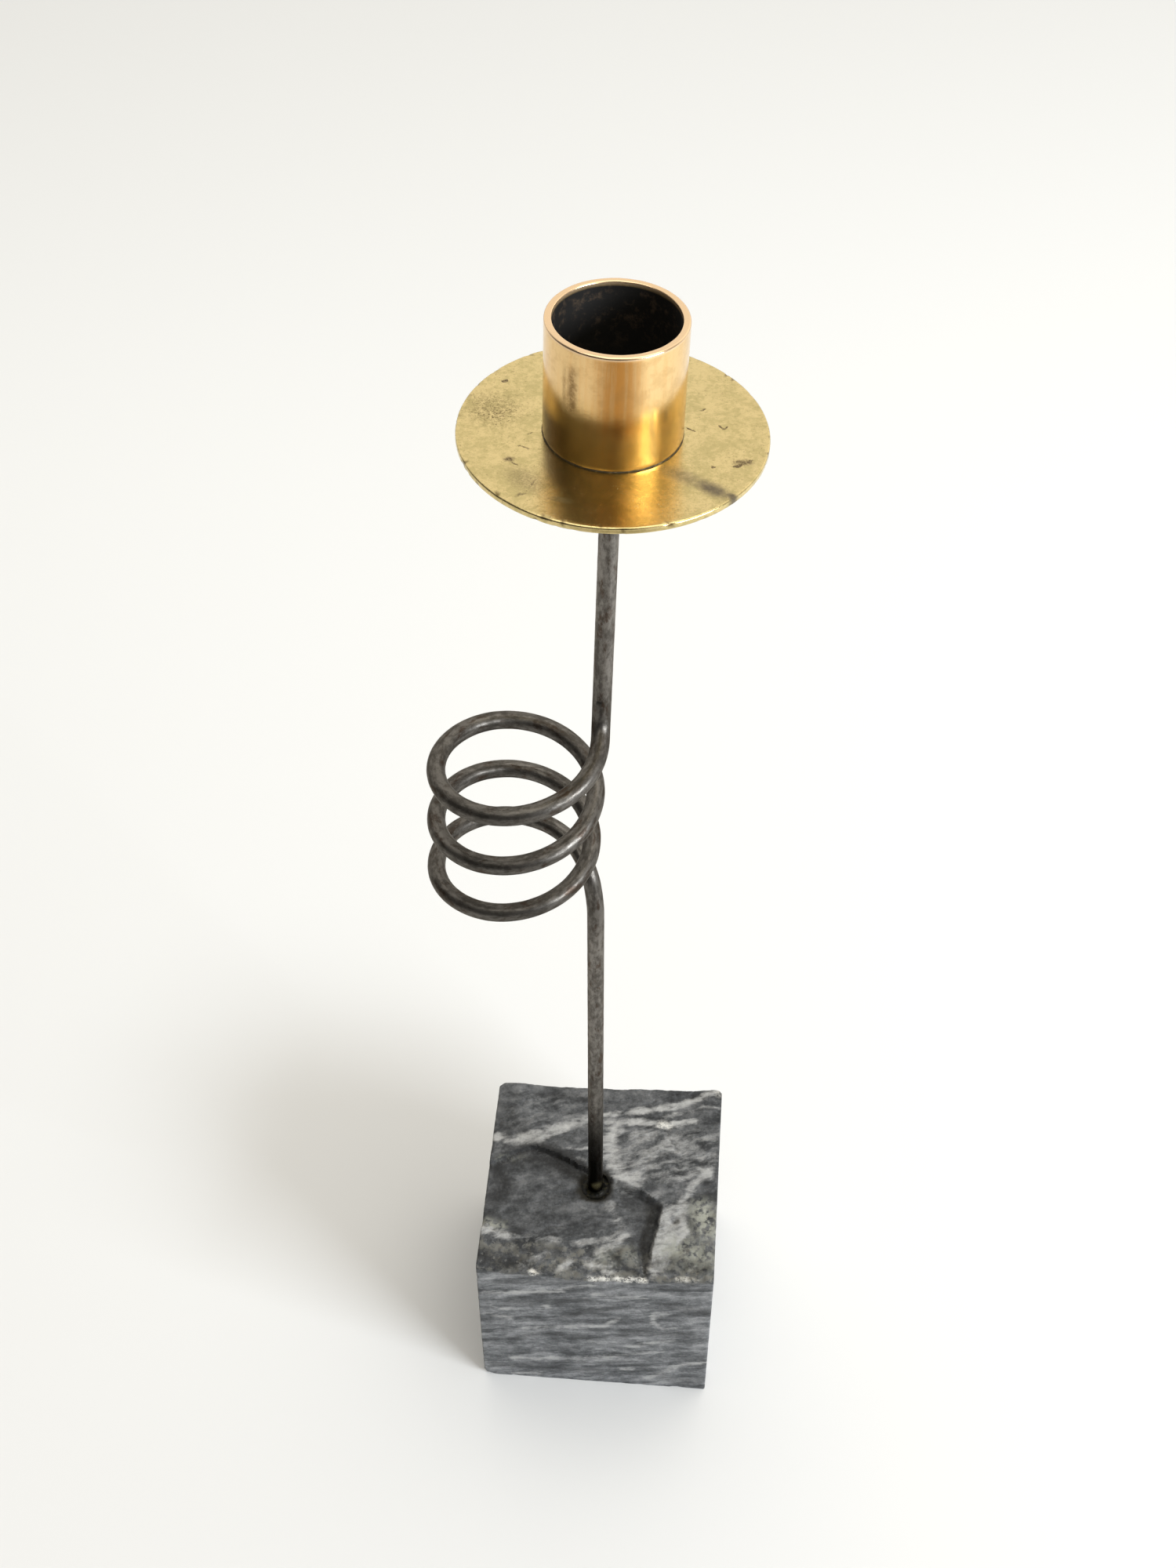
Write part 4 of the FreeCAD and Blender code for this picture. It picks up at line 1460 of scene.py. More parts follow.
@dataclass
class StoneBase(Piece):
    """The marble block: sawn sides, a split top with a broken shelf, worn arrises and a drilled hole."""

    label: str = "marble_block"
    node: str = "stone_base"
    slot: str = "marble"
    finish: Finish = Marble()
    columns: int = 164
    rows: int = 154
    crowding: float = 0.95
    flat_height: float = TOP
    arris_rows: int = 9
    arris_step: float = 0.30
    side_rows: int = 58
    hole: tuple[float, float] = SHARED.foot
    hole_radius: float = 3.7
    hole_depth: float = 26.0
    hole_lip_depth: float = 0.55
    shelf_height: float = 56.7
    notch_depth: float = 0.65
    lump: tuple[float, float] = (7.6, -22.2)
    lump_height: float = 1.0
    hollow: tuple[float, float] = (19.5, -11.5)
    hollow_depth: float = 0.7
    crag_depth: float = 0.34
    crack_depth: float = 0.20
    shelf: Points = (
        (-32.6, 1.1), (-32.6, -15.4), (-24.7, -17.1), (9.6, -17.1), (12.7, -26.8), (14.5, -14.3),
        (15.7, -7.4), (11.5, -4.6), (6.0, -1.7), (-7.2, 3.4), (-12.0, 6.3), (-18.1, 8.6), (-24.1, 6.3),
    )
    notch: Points = ((5.5, -2.6), (10.5, -5.6), (13.6, -9.0), (12.4, -15.0), (11.6, -22.0), (12.4, -26.5))
    chips: tuple[Chip, ...] = (
        Chip(-RIGHT, -BACK, 0.0, 2.6, 1.6),
        Chip(RIGHT, -BACK, TOP, 1.6, 0.9),
        Chip(RIGHT, -BACK, 37.0, 1.1, 0.6),
        Chip(RIGHT, -BACK, 30.0, 1.5, 0.8),
        Chip(RIGHT, BACK, TOP, 1.4, 0.7),
        Chip(-RIGHT, BACK, TOP, 2.0, 0.9),
        Chip(-20.0, -BACK, TOP, 3.0, 0.7),
        Chip(6.0, -BACK, TOP, 5.0, 0.8),
        Chip(21.0, -BACK, TOP, 2.5, 0.6),
        Chip(RIGHT, -16.0, TOP, 3.0, 0.6),
        Chip(-RIGHT, -14.0, TOP, 3.5, 0.7),
        Chip(-RIGHT, 8.0, TOP, 2.5, 0.5),
        Chip(2.0, BACK, TOP, 4.0, 0.6),
        Chip(22.0, -BACK, 0.0, 2.0, 0.5),
    )

    def __post_init__(self) -> None:
        """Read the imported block's box, and feel its split top."""
        _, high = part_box(self.node)
        self.half_width = high.x / MM
        self.half_depth = high.y / MM
        self.highest = high.z / MM - 0.05
        self.bed = SplitBed(frame["nodes"][self.node], self)

    def shape(self) -> bpy.types.Object:
        """Model the block.

        Returns:
            The mesh, in place.
        """
        piece = self._rough_out()
        write_places(piece, self._sculpt(read_places(piece)))
        close_up(piece)
        self._drill(piece)
        self._mark(piece)
        return piece

    def _rough_out(self) -> bpy.types.Object:
        """A fine grid for the top, drawn down into the four sides and closed below.

        Returns:
            A plain box whose vertices crowd towards its arrises.
        """
        bpy.ops.mesh.primitive_grid_add(x_subdivisions=self.columns, y_subdivisions=self.rows, size=2.0)
        piece = bpy.context.object
        places = read_places(piece) * MM
        spread = np.sin(places[:, :2] * self.crowding) / math.sin(self.crowding)
        places[:, 0] = spread[:, 0] * self.half_width
        places[:, 1] = spread[:, 1] * self.half_depth
        places[:, 2] = self.flat_height
        write_places(piece, places)
        open_up(piece)
        bpy.ops.mesh.region_to_loop()
        arris = [self.arris_step] * self.arris_rows
        middle = (self.flat_height - 2 * sum(arris)) / self.side_rows
        for step in (*arris, *[middle] * self.side_rows, *arris):
            move = {"value": (0.0, 0.0, -step * MM)}
            bpy.ops.mesh.extrude_region_move(TRANSFORM_OT_translate=move)
        inward = np.array([self.half_width, self.half_depth])
        for _ in range(self.arris_rows):
            narrower = inward - self.arris_step
            bpy.ops.mesh.extrude_region_move(TRANSFORM_OT_translate={"value": (0.0, 0.0, 0.0)})
            bpy.ops.transform.resize(value=(*(narrower / inward), 1.0), center_override=(0.0, 0.0, 0.0))
            inward = narrower
        bpy.ops.mesh.edge_face_add()
        bpy.ops.object.mode_set(mode="OBJECT")
        return piece

    def _sculpt(self, places: np.ndarray) -> np.ndarray:
        """Give the plain box its worn arrises, its sawn sides and its split top.

        Args:
            places: The box's vertices in millimetres.

        Returns:
            The same vertices, moved.
        """
        half = np.array([self.half_width, self.half_depth])
        tall = self.flat_height
        radius = self._arris_radius(places)
        inner = places.copy()
        inner[:, :2] = np.clip(places[:, :2], radius[:, None] - half, half - radius[:, None])
        inner[:, 2] = np.clip(places[:, 2], radius, tall - radius)
        out = places - inner
        reach = np.abs(out).max(1)
        length = np.maximum(np.linalg.norm(out, axis=1), 1e-9)
        rounded = inner + out * (reach / length)[:, None]

        top = self.top_height(places[:, :2])
        lifted = rounded.copy()
        lifted[:, 2] += (top - tall) * rounded[:, 2] / tall
        sides = ease(tall - places[:, 2], 0.0, 0.6) * ease(places[:, 2], 0.0, 0.6)
        wave = 0.5 + 0.5 * ripple(places, 9.0, 4.0, 3)
        saw = 0.5 + 0.5 * np.sin(places[:, 2] * 2.1 + 0.6 * ripple(places, 20.0, 5.0, 1))
        inset = sides * (0.03 + 0.05 * wave + 0.012 * saw)
        at_side = np.abs(places[:, :2]) >= half - 1e-6
        lifted[:, :2] -= np.sign(places[:, :2]) * at_side * inset[:, None]
        return lifted

    def _arris_radius(self, places: np.ndarray) -> np.ndarray:
        """How far the arrises are worn back near each vertex.

        Args:
            places: The plain box's vertices in millimetres.

        Returns:
            One radius for each vertex, in millimetres.
        """
        wear = ripple(places, 3.2, 1.0, 3)
        nibble = ripple(places, 1.1, 2.0, 2)
        radius = 0.42 + 0.20 * wear + 0.45 * ease(wear + 0.5 * nibble, 0.35, 0.9)
        for chip in self.chips:
            middle = np.array([chip.right, chip.back, chip.height])
            distance = np.linalg.norm(places - middle, axis=1) + 0.4 * nibble
            radius = radius + chip.depth * ease(distance, chip.length, 0.2 * chip.length)
        return np.clip(radius, 0.22, 2.6)

    def top_height(self, plan: np.ndarray) -> np.ndarray:
        """Height of the split top.

        Args:
            plan: One row of right and back in millimetres for each point.

        Returns:
            One height for each point.
        """
        flat = laid_flat(plan)
        ragged = 0.55 * ripple(flat, 3.0, 6.0, 3) + 0.18 * ripple(flat, 0.9, 7.0, 2)
        off_notch = line_distance(plan, self.notch)
        near_notch = ease(off_notch, 4.5, 1.5)
        off_shelf = outline_distance(plan, self.shelf) + ragged
        passage = 0.30 + 0.55 * near_notch
        above = ease(off_shelf, -passage, passage)
        bed = self.bed.height(plan)
        shelf = self.shelf_height + 0.16 * ripple(flat, 7.0, 8.0, 2)
        height = shelf + (bed - shelf) * above
        height -= self.notch_depth * ease(off_notch, 3.2, 0.6) * (1 - above)
        off_lump = np.hypot(plan[:, 0] - self.lump[0], (plan[:, 1] - self.lump[1]) * 1.1)
        rough = 0.8 + 0.3 * ripple(flat, 1.6, 9.0, 2)
        height += self.lump_height * ease(off_lump, 3.6, 0.6) * rough
        broken = self._broken(plan)
        height += broken * (self.crag_depth * ripple(flat, 2.3, 11.0, 4) - 0.10)
        off_hollow = np.hypot(*(plan - self.hollow).T)
        height -= self.hollow_depth * ease(off_hollow, 1.5, 0.3)
        beds = np.abs(ripple(flat * np.array([0.45, 1.0, 1.0]), 6.0, 12.0, 3))
        height -= self.crack_depth * ease(beds, 0.10, 0.0) * (1 - 0.5 * broken)
        height += 0.10 * ripple(flat, 2.4, 13.0, 3) + 0.05 * ripple(flat, 0.7, 14.0, 2)
        lip = self.hole_radius + 0.9 + 0.5 * ripple(flat, 2.0, 15.0, 2)
        height -= self.hole_lip_depth * ease(self.off_hole(plan), lip, self.hole_radius - 0.2)
        return np.minimum(height, self.highest)

    def off_hole(self, plan: np.ndarray) -> np.ndarray:
        """Each point's distance from the middle of the hole."""
        return np.hypot(*(plan - self.hole).T)

    def _broken(self, plan: np.ndarray) -> np.ndarray:
        """How crumbly the split top is: along its front edge, and less so at its right.

        Args:
            plan: One row of right and back in millimetres for each point.

        Returns:
            A number from zero to one for each point.
        """
        front = ease(plan[:, 1] + 1.6 * ripple(laid_flat(plan), 5.0, 10.0, 2), -18.5, -20.5)
        right = 0.6 * ease(plan[:, 0], 16.0, 20.0) * ease(plan[:, 1], -4.0, -9.0)
        return np.maximum(front, right)

    def _drill(self, piece: bpy.types.Object) -> None:
        """Cut the hole for the wire and its resin.

        Args:
            piece: The block.
        """
        top = self.flat_height + 4.0
        bottom = self.flat_height - self.hole_depth
        middle = [value * MM for value in (*self.hole, (top + bottom) / 2)]
        bpy.ops.mesh.primitive_cylinder_add(
            vertices=72, radius=self.hole_radius * MM, depth=(top - bottom) * MM, location=middle
        )
        drill = bpy.context.object
        take_up(piece)
        bpy.ops.object.modifier_add(type="BOOLEAN")
        modifier = piece.modifiers[-1]
        modifier.operation = "DIFFERENCE"
        modifier.solver = "EXACT"
        modifier.object = drill
        bpy.ops.object.modifier_apply(modifier=modifier.name)
        bpy.data.objects.remove(drill)
        bpy.ops.object.shade_smooth_by_angle(angle=SHARP_EDGE)

    def _mark(self, piece: bpy.types.Object) -> None:
        """Keep where the stone is split, crumbly, veined, chalky, mossy, dark, stained and painted with
        shade.

        Args:
            piece: The finished block.
        """
        places = read_places(piece)
        below = self.top_height(places[:, :2]) - places[:, 2]
        split = ease(below, 1.4, 0.5)
        ragged = 0.45 * ripple(places, 1.4, 21.0, 3) + 0.5 * ripple(places, 4.5, 22.0, 2)
        keep_values(piece, "split", split)
        keep_values(piece, "rubble", split * self._broken(places[:, :2]))
        for name, strokes in STROKES.items():
            keep_values(piece, name, self._strokes(places, split, ragged, strokes))
        # Stain and painted shade at the hole: resin stain round its lip, and painted shade down its wall.
        off_hole = self.off_hole(places[:, :2]) + 1.2 * ragged
        near_hole = ease(off_hole, self.hole_radius + 2.2, self.hole_radius + 0.2)
        keep_values(piece, "stain_and_hole_shade", near_hole * ease(below, 30.0, 27.0))

    def _strokes(
        self, places: np.ndarray, split: np.ndarray, ragged: np.ndarray, strokes: Sequence[Stroke]
    ) -> np.ndarray:
        """The strongest of several strokes at each vertex.

        Args:
            places: The vertices in millimetres.
            split: One on the split top and zero elsewhere.
            ragged: How far the strokes stray at each vertex.
            strokes: The strokes.

        Returns:
            A number from zero to one for each vertex.
        """
        front = (1 - split) * ease(places[:, 1], 0.6 - self.half_depth, 0.3 - self.half_depth)
        total = np.zeros(len(places))
        for stroke in strokes:
            on_face = split if stroke.face is BlockFace.TOP else front
            distance = stroke.distance(places[:, stroke.face.value]) + ragged
            value = stroke.strength * ease(distance, stroke.half_width * 1.9, -stroke.half_width * 0.1)
            total = np.maximum(total, value * on_face)
        return total


class SplitBed:
    """The lie of the split top beside its shelf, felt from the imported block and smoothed."""

    def __init__(self, node: bpy.types.Object, block: StoneBase, step: float = 0.75) -> None:
        """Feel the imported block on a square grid, and smooth what is not shelf.

        Args:
            node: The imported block.
            block: The sizes that the feeler keeps clear of.
            step: Spacing of the grid in millimetres.
        """
        self.step = step
        self.across = np.arange(-block.half_width, block.half_width + step, step)
        self.deep = np.arange(-block.half_depth, block.half_depth + step, step)
        corners = [vertex.co for vertex in node.data.vertices]
        faces = [tuple(face.vertices) for face in node.data.polygons]
        tree = BVHTree.FromPolygons(corners, faces)
        heights = np.zeros((len(self.deep), len(self.across)))
        known = np.zeros_like(heights)
        margin = 0.8
        keep_off = block.hole_radius + 0.6
        above_shelf = block.shelf_height + 0.04
        for row, back in enumerate(self.deep):
            for column, right in enumerate(self.across):
                x = min(max(right, margin - block.half_width), block.half_width - margin)
                y = min(max(back, margin - block.half_depth), block.half_depth - margin)
                over_hole = math.hypot(x - block.hole[0], y - block.hole[1]) < keep_off
                above = Vector((x * MM, y * MM, 1.0))
                height = tree.ray_cast(above, -UP)[0].z / MM
                heights[row, column] = height
                known[row, column] = 0.0 if over_hole or height < above_shelf else 1.0
        self.heights = self._smooth(heights, known)

    def _smooth(self, heights: np.ndarray, known: np.ndarray, rounds: int = 14) -> np.ndarray:
        """Spread and smooth the known heights over the whole grid.

        Args:
            heights: The heights felt.
            known: One where a height belongs to the bed, and zero elsewhere.
            rounds: How often each height is averaged with its neighbours.

        Returns:
            Smooth heights.
        """
        weight = known + 1e-6
        total = heights * weight
        for _ in range(rounds):
            weight = self._blur(weight)
            total = self._blur(total)
        return total / weight

    def _blur(self, grid: np.ndarray) -> np.ndarray:
        """Average each number with its eight neighbours.

        Args:
            grid: The numbers.

        Returns:
            As many numbers.
        """
        padded = np.pad(grid, 1, mode="edge")
        rows = (padded[:-2] + 2 * padded[1:-1] + padded[2:]) / 4
        return (rows[:, :-2] + 2 * rows[:, 1:-1] + rows[:, 2:]) / 4

    def height(self, plan: np.ndarray) -> np.ndarray:
        """Height of the bed at any place, from the four grid points round it.

        Args:
            plan: One row of right and back in millimetres for each point.

        Returns:
            One height for each point.
        """
        column = np.clip((plan[:, 0] - self.across[0]) / self.step, 0, len(self.across) - 1.001)
        row = np.clip((plan[:, 1] - self.deep[0]) / self.step, 0, len(self.deep) - 1.001)
        left = column.astype(int)
        near = row.astype(int)
        u = column - left
        v = row - near
        grid = self.heights
        front = grid[near, left] * (1 - u) + grid[near, left + 1] * u
        behind = grid[near + 1, left] * (1 - u) + grid[near + 1, left + 1] * u
        return front * (1 - v) + behind * v


@dataclass
class SocketResin(TurnedPiece):
    """The resin that holds the wire's foot, sunk in its hole and drawn up round the wire."""

    label: str = "resin_fill"
    node: str = "socket_resin"
    slot: str = "resin"
    finish: Finish = Resin()
    longest: float = 0.5
    wire_radius: float = SHARED.wire_radius
    under_wire: float = 1.5
    collar_height: float = 1.0
    lump_depth: float = 0.22

    def __post_init__(self) -> None:
        """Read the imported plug's box, which gives the resin its size and its seat."""
        self.low, self.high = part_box(self.node)
        middle = (self.low + self.high) / 2
        self.seat = Matrix.Translation((middle.x, middle.y, 0.0))

    def section(self) -> list[Corner]:
        """The half section: a plug with a bore for the wire and a hollow top.

        Returns:
            The corners in order.
        """
        radius = (self.high.x - self.low.x) / 2 / MM
        bottom = self.low.z / MM
        creep = self.high.z / MM
        floor = bottom + self.under_wire
        surface = creep - self.collar_height
        return [
            Corner(0.0, floor),
            Corner(0.0, bottom),
            Corner(radius, bottom),
            Corner(radius, surface + 0.25, 0.2),
            Corner(radius - 0.45, surface - 0.02, 0.3),
            Corner(self.wire_radius + 0.55, surface + 0.08, 0.4, 6),
            Corner(self.wire_radius + 0.02, creep - 0.05),
            Corner(self.wire_radius + 0.02, floor),
        ]

    def work(self, piece: bpy.types.Object) -> None:
        """Let the top of the plug sink in places.

        Args:
            piece: The mesh, upright about the origin.
        """
        places = read_places(piece)
        radius, _ = from_axis(places)
        floor = self.low.z / MM + self.under_wire
        on_top = (places[:, 2] > floor + 1.0) & (radius > self.wire_radius + 0.1)
        lumps = np.minimum(self.lump_depth * ripple(places, 1.5, 31.0, 3), 0.0)
        places[:, 2] += np.where(on_top, lumps * ease(places[:, 2], 50.0, 55.0), 0.0)
        write_places(piece, places)


@dataclass
class SpiralStem(Piece):
    """One length of wire: straight out of the block, round its spiral, and straight up to the pan."""

    label: str = "wire_spiral"
    node: str = "spiral_stem"
    slot: str = "iron_wire"
    finish: Finish = IronWire()
    sides: int = 32
    ring_step: float = 0.75
    wire_radius: float = SHARED.wire_radius
    foot: Triple = (*SHARED.foot, 33.0)
    foot_bend_height: float = 169.4
    foot_bend_reach: float = 7.4
    foot_bend_rise: float = 14.2
    radius_across: float = 16.3
    radius_deep: float = 16.65
    pitch: float = 14.93
    drift: float = 0.8
    entry_angle: float = 33.9
    sweep_angle: float = 1030.6
    neck_reach: float = 8.8
    neck_turn_angle: float = 11.0
    neck_rise: float = 6.3
    hammering: float = 0.022
    pit_height: float = 3.0
    pit_way: Triple = (-0.25, -0.85, 0.35)
    pit_size: float = 0.75
    pit_depth: float = 0.16
    glint_height: float = 60.0

    def __post_init__(self) -> None:
        """Work out the route's fixed points from the sizes."""
        self.foot_place = Vector(self.foot)
        self.foot_bend = Vector((*self.foot[:2], self.foot_bend_height))
        entry = math.radians(self.entry_angle)
        onward = Vector((-math.sin(entry), math.cos(entry), 0.0))
        low_point = self.foot_bend + onward * self.foot_bend_reach + UP * self.foot_bend_rise
        self.centre = low_point - self._from_centre(entry)

    def _from_centre(self, angle: float) -> Vector:
        """The step from the spiral's own axis to the wire at an angle in radians."""
        return Vector((self.radius_across * math.cos(angle), self.radius_deep * math.sin(angle), 0.0))

    def coil_place(self, sweep: float) -> tuple[Vector, Vector]:
        """A point of the spiral and the wire's direction there.

        Args:
            sweep: The angle from the spiral's lower end, in degrees.

        Returns:
            The point in millimetres and a unit vector.
        """
        angle = math.radians(self.entry_angle + sweep)
        climb = Vector((self.drift, 0.0, self.pitch))
        place = self.centre + self._from_centre(angle) + climb * (sweep / 360.0)
        across = -self.radius_across * math.sin(angle)
        deep = self.radius_deep * math.cos(angle)
        way = Vector((across, deep, 0.0)) + climb / math.tau
        return place, way.normalized()

    def stations(self) -> list[tuple[Vector, Vector]]:
        """The points that the bends join, each with the wire's direction.

        Returns:
            The foot bend, a point for about every quarter turn, and the neck.
        """
        steps = math.ceil(self.sweep_angle / 90.0)
        coil = [self.coil_place(self.sweep_angle * step / steps) for step in range(steps + 1)]
        end, way = coil[-1]
        heading = math.atan2(way.y, way.x) + math.radians(self.neck_turn_angle)
        aside = Vector((math.cos(heading), math.sin(heading), 0.0)) * self.neck_reach
        lean = lean_way()
        self.neck = end + aside + UP * self.neck_rise
        return [(self.foot_bend, UP), *coil, (self.neck, lean)]

    def shape(self) -> bpy.types.Object:
        """Draw the wire along its route, bend by bend.

        Returns:
            The mesh, in place.
        """
        stations = self.stations()
        top = pan_seat().to_translation() / MM
        radius = self.wire_radius * MM
        bpy.ops.mesh.primitive_circle_add(vertices=self.sides, radius=radius, location=self.foot_place * MM)
        piece = bpy.context.object
        take_up(piece)
        bpy.ops.object.transform_apply(location=True, rotation=False, scale=False)
        open_up(piece)
        self._draw_straight(self.foot_place, self.foot_bend)
        for (start, start_way), (end, end_way) in zip(stations, stations[1:]):
            self._bend_twice(start, start_way, end, end_way)
        self._draw_straight(self.neck, top)
        bpy.ops.object.mode_set(mode="OBJECT")
        self._keep_straight_places(piece)
        self._wear(piece)
        self._cap(piece)
        close_up(piece)
        return piece

    def _draw_straight(self, start: Vector, end: Vector) -> None:
        """Draw the selected ring out in short steps along a straight run.

        Args:
            start: The run's start in millimetres.
            end: Its end.
        """
        run = (end - start) * MM
        count = max(1, round(run.length / (self.ring_step * MM)))
        for _ in range(count):
            bpy.ops.mesh.extrude_region_move(TRANSFORM_OT_translate={"value": run / count})

    def _bend_twice(self, start: Vector, start_way: Vector, end: Vector, end_way: Vector) -> None:
        """Spin the selected ring round two arcs that join two stations.

        Args:
            start: The first station in millimetres.
            start_way: The wire's direction there.
            end: The second station in millimetres.
            end_way: The wire's direction there.
        """
        span = end - start
        along = span.dot(start_way + end_way)
        closing = 2 * (1 - start_way.dot(end_way))
        reach = (math.sqrt(along * along + closing * span.dot(span)) - along) / closing
        first = start + start_way * reach
        last = end - end_way * reach
        meeting = (first + last) / 2
        self._bend(start, start_way, meeting)
        self._bend(meeting, (last - first).normalized(), end)

    def _bend(self, start: Vector, way: Vector, end: Vector) -> None:
        """Spin the selected ring round one arc.

        Args:
            start: The arc's start in millimetres.
            way: The wire's direction there.
            end: The arc's end.
        """
        chord = end - start
        axis = way.cross(chord).normalized()
        angle = 2 * way.angle(chord)
        radius = chord.length / (2 * math.sin(angle / 2))
        centre = start + axis.cross(way) * radius
        steps = max(2, round(radius * angle / self.ring_step))
        bpy.ops.mesh.spin(steps=steps, angle=-angle, center=centre * MM, axis=axis)

    def _keep_straight_places(self, piece: bpy.types.Object) -> None:
        """Keep each vertex's place on the wire as it was before it was bent, for the finish.

        Args:
            piece: The wire, ring after ring.
        """
        places = read_places(piece).reshape(-1, self.sides, 3)
        middles = places.mean(1)
        steps = np.linalg.norm(np.diff(middles, axis=0), axis=1)
        along = np.concatenate([[0.0], np.cumsum(steps)])
        turn = np.arange(self.sides) * math.tau / self.sides
        ring = np.column_stack([np.cos(turn), np.sin(turn)]) * self.wire_radius
        straight = np.zeros_like(places)
        straight[:, :, :2] = ring
        straight[:, :, 2] = along[:, None]
        keep_values(piece, "wire_place", straight.reshape(-1, 3))

    def _wear(self, piece: bpy.types.Object) -> None:
        """Hammer the wire a hair out of round, sink its pit, and keep its pit, painted shade and highlight.

        Args:
            piece: The wire, ring after ring.
        """
        places = read_places(piece).reshape(-1, self.sides, 3)
        middles = places.mean(1, keepdims=True)
        outward = ((places - middles) / self.wire_radius).reshape(-1, 3)
        places = places.reshape(-1, 3)
        swell = (ripple(places, 2.6, 41.0, 3) - 1.0) * self.hammering
        pit_place = np.array(self.neck + lean_way() * self.pit_height)
        pit_place += np.array(Vector(self.pit_way).normalized()) * self.wire_radius
        off_pit = np.linalg.norm(places - pit_place, axis=1) + 0.15 * ripple(places, 0.6, 42.0, 2)
        pit = ease(off_pit, self.pit_size, 0.35 * self.pit_size)
        write_places(piece, places + outward * (swell - self.pit_depth * pit)[:, None])
        keep_values(piece, "pit", pit)
        # Painted highlight: a warm glint painted on the wire's front, just above the resin.
        glint = np.array([self.foot[0] + 0.5, self.foot[1] - 1.7, self.glint_height])
        keep_values(piece, "foot_glint", ease(np.linalg.norm(places - glint, axis=1), 2.0, 0.6))
        # Painted shade: the foot is darkened up to about 100 mm, fully below about 68 mm, a little more on
        # its left side.
        to_left = ease(places[:, 0] - self.foot[0], 1.2, -0.2)
        painted_shade = ease(places[:, 2] + 3.0 * ripple(places, 4.0, 43.0, 2), 100.0, 68.0)
        keep_values(piece, "painted_foot_shade", painted_shade * (0.84 + 0.16 * to_left))

    def _cap(self, piece: bpy.types.Object) -> None:
        """Close both ends of the wire.

        Args:
            piece: The wire.
        """
        open_up(piece)
        bpy.ops.mesh.fill_holes(sides=self.sides)
        bpy.ops.object.mode_set(mode="OBJECT")


@dataclass
class PanBraze(TurnedPiece):
    """The fillet of braze that holds the pan's underside to the wire."""

    label: str = "braze_fillet"
    node: str = "pan_braze"
    slot: str = "braze"
    finish: Finish = Braze()
    steps: int = 72
    longest: float = 0.3
    pan_thickness: float = SHARED.pan_thickness
    wire_radius: float = SHARED.wire_radius
    leg: float = 1.6

    def section(self) -> list[Corner]:
        """The half section: a hollow fillet in the corner of wire and pan.

        Returns:
            The corners in order.
        """
        under = -self.pan_thickness
        return [
            Corner(self.wire_radius, under),
            Corner(self.wire_radius, under - self.leg),
            Corner(self.wire_radius + 0.12, under - self.leg),
            Corner(self.wire_radius + 0.36, under - 0.36, 0.9, 7),
            Corner(self.wire_radius + self.leg, under - 0.10),
            Corner(self.wire_radius + self.leg, under),
        ]

    def work(self, piece: bpy.types.Object) -> None:
        """Make the fillet a little lumpy."""
        make_uneven(piece, grain=1.4, depth=0.10)


@dataclass
class DripPan(TurnedPiece):
    """The round brass pan: a thin disc with an eased edge, nicked in places."""

    label: str = "brass_pan"
    node: str = "drip_pan"
    slot: str = "pan_brass"
    finish: Finish = PanBrass()
    steps: int = 288
    longest: float = 0.9
    radius: float = 27.47
    thickness: float = SHARED.pan_thickness
    edge_round: float = 0.38
    bore_radius: float = SHARED.wire_radius
    nick_depth: float = 0.10
    sag: float = 0.018

    def section(self) -> list[Corner]:
        """The half section: a flat plate with a bore for the wire.

        Returns:
            The corners in order.
        """
        return [
            Corner(self.bore_radius, 0.0),
            Corner(self.bore_radius, -self.thickness),
            Corner(self.radius, -self.thickness, self.edge_round, 5),
            Corner(self.radius, 0.0, self.edge_round, 5),
        ]

    def work(self, piece: bpy.types.Object) -> None:
        """Wear and nick the pan's edge, let its plate wander a hair from flat, and keep its nicks.

        Args:
            piece: The mesh, upright about the origin.
        """
        places = read_places(piece)
        flat = places * PLAN
        radius, outward = from_axis(places)
        near_edge = ease(radius, self.radius - 1.1, self.radius - 0.2)
        nick = near_edge * ease(ripple(places, 1.6, 51.0, 3), 0.34, 0.62)
        ring = 0.010 * ripple(flat, 5.0, 52.0, 2) - 0.014
        places += outward * (near_edge * (ring - self.nick_depth * nick))[:, None]
        middle = ease(radius, 13.0, 16.0) * ease(radius, self.radius, self.radius - 1.5)
        places[:, 2] -= middle * self.sag * (1 + ripple(flat, 9.0, 53.0, 2))
        above = places[:, 2] > -self.thickness / 2
        places[:, 2] -= np.where(above, self.nick_depth / 2, -self.nick_depth / 2) * nick
        write_places(piece, places)
        keep_values(piece, "nick", nick)


@dataclass
class CupSolder(TurnedPiece):
    """The thin seam of solder between the cup and the pan."""

    label: str = "solder_seam"
    node: str = "cup_solder"
    slot: str = "solder"
    finish: Finish = Solder()
    steps: int = 192
    longest: float = 0.25
    film: float = SHARED.film
    inner_radius: float = SHARED.cup_bore_radius
    outer_radius: float = 12.42
    run_out: float = 0.07

    def section(self) -> list[Corner]:
        """The half section: a flat film that swells a little where it shows.

        Returns:
            The corners in order.
        """
        return [
            Corner(self.inner_radius, 0.0),
            Corner(self.outer_radius, 0.0),
            Corner(self.outer_radius, self.film + 0.08, 0.06, 3),
            Corner(self.outer_radius - 0.16, self.film + 0.14, 0.05, 3),
            Corner(self.outer_radius - 0.16, self.film),
            Corner(self.inner_radius, self.film),
        ]

    def work(self, piece: bpy.types.Object) -> None:
        """Let the seam's outer edge run in and out.

        Args:
            piece: The mesh, upright about the origin.
        """
        places = read_places(piece)
        radius, outward = from_axis(places)
        near_edge = ease(radius, self.outer_radius - 0.3, self.outer_radius - 0.1)
        run = ripple(places * PLAN, 2.2, 61.0, 3)
        write_places(piece, places + outward * (near_edge * self.run_out * run)[:, None])


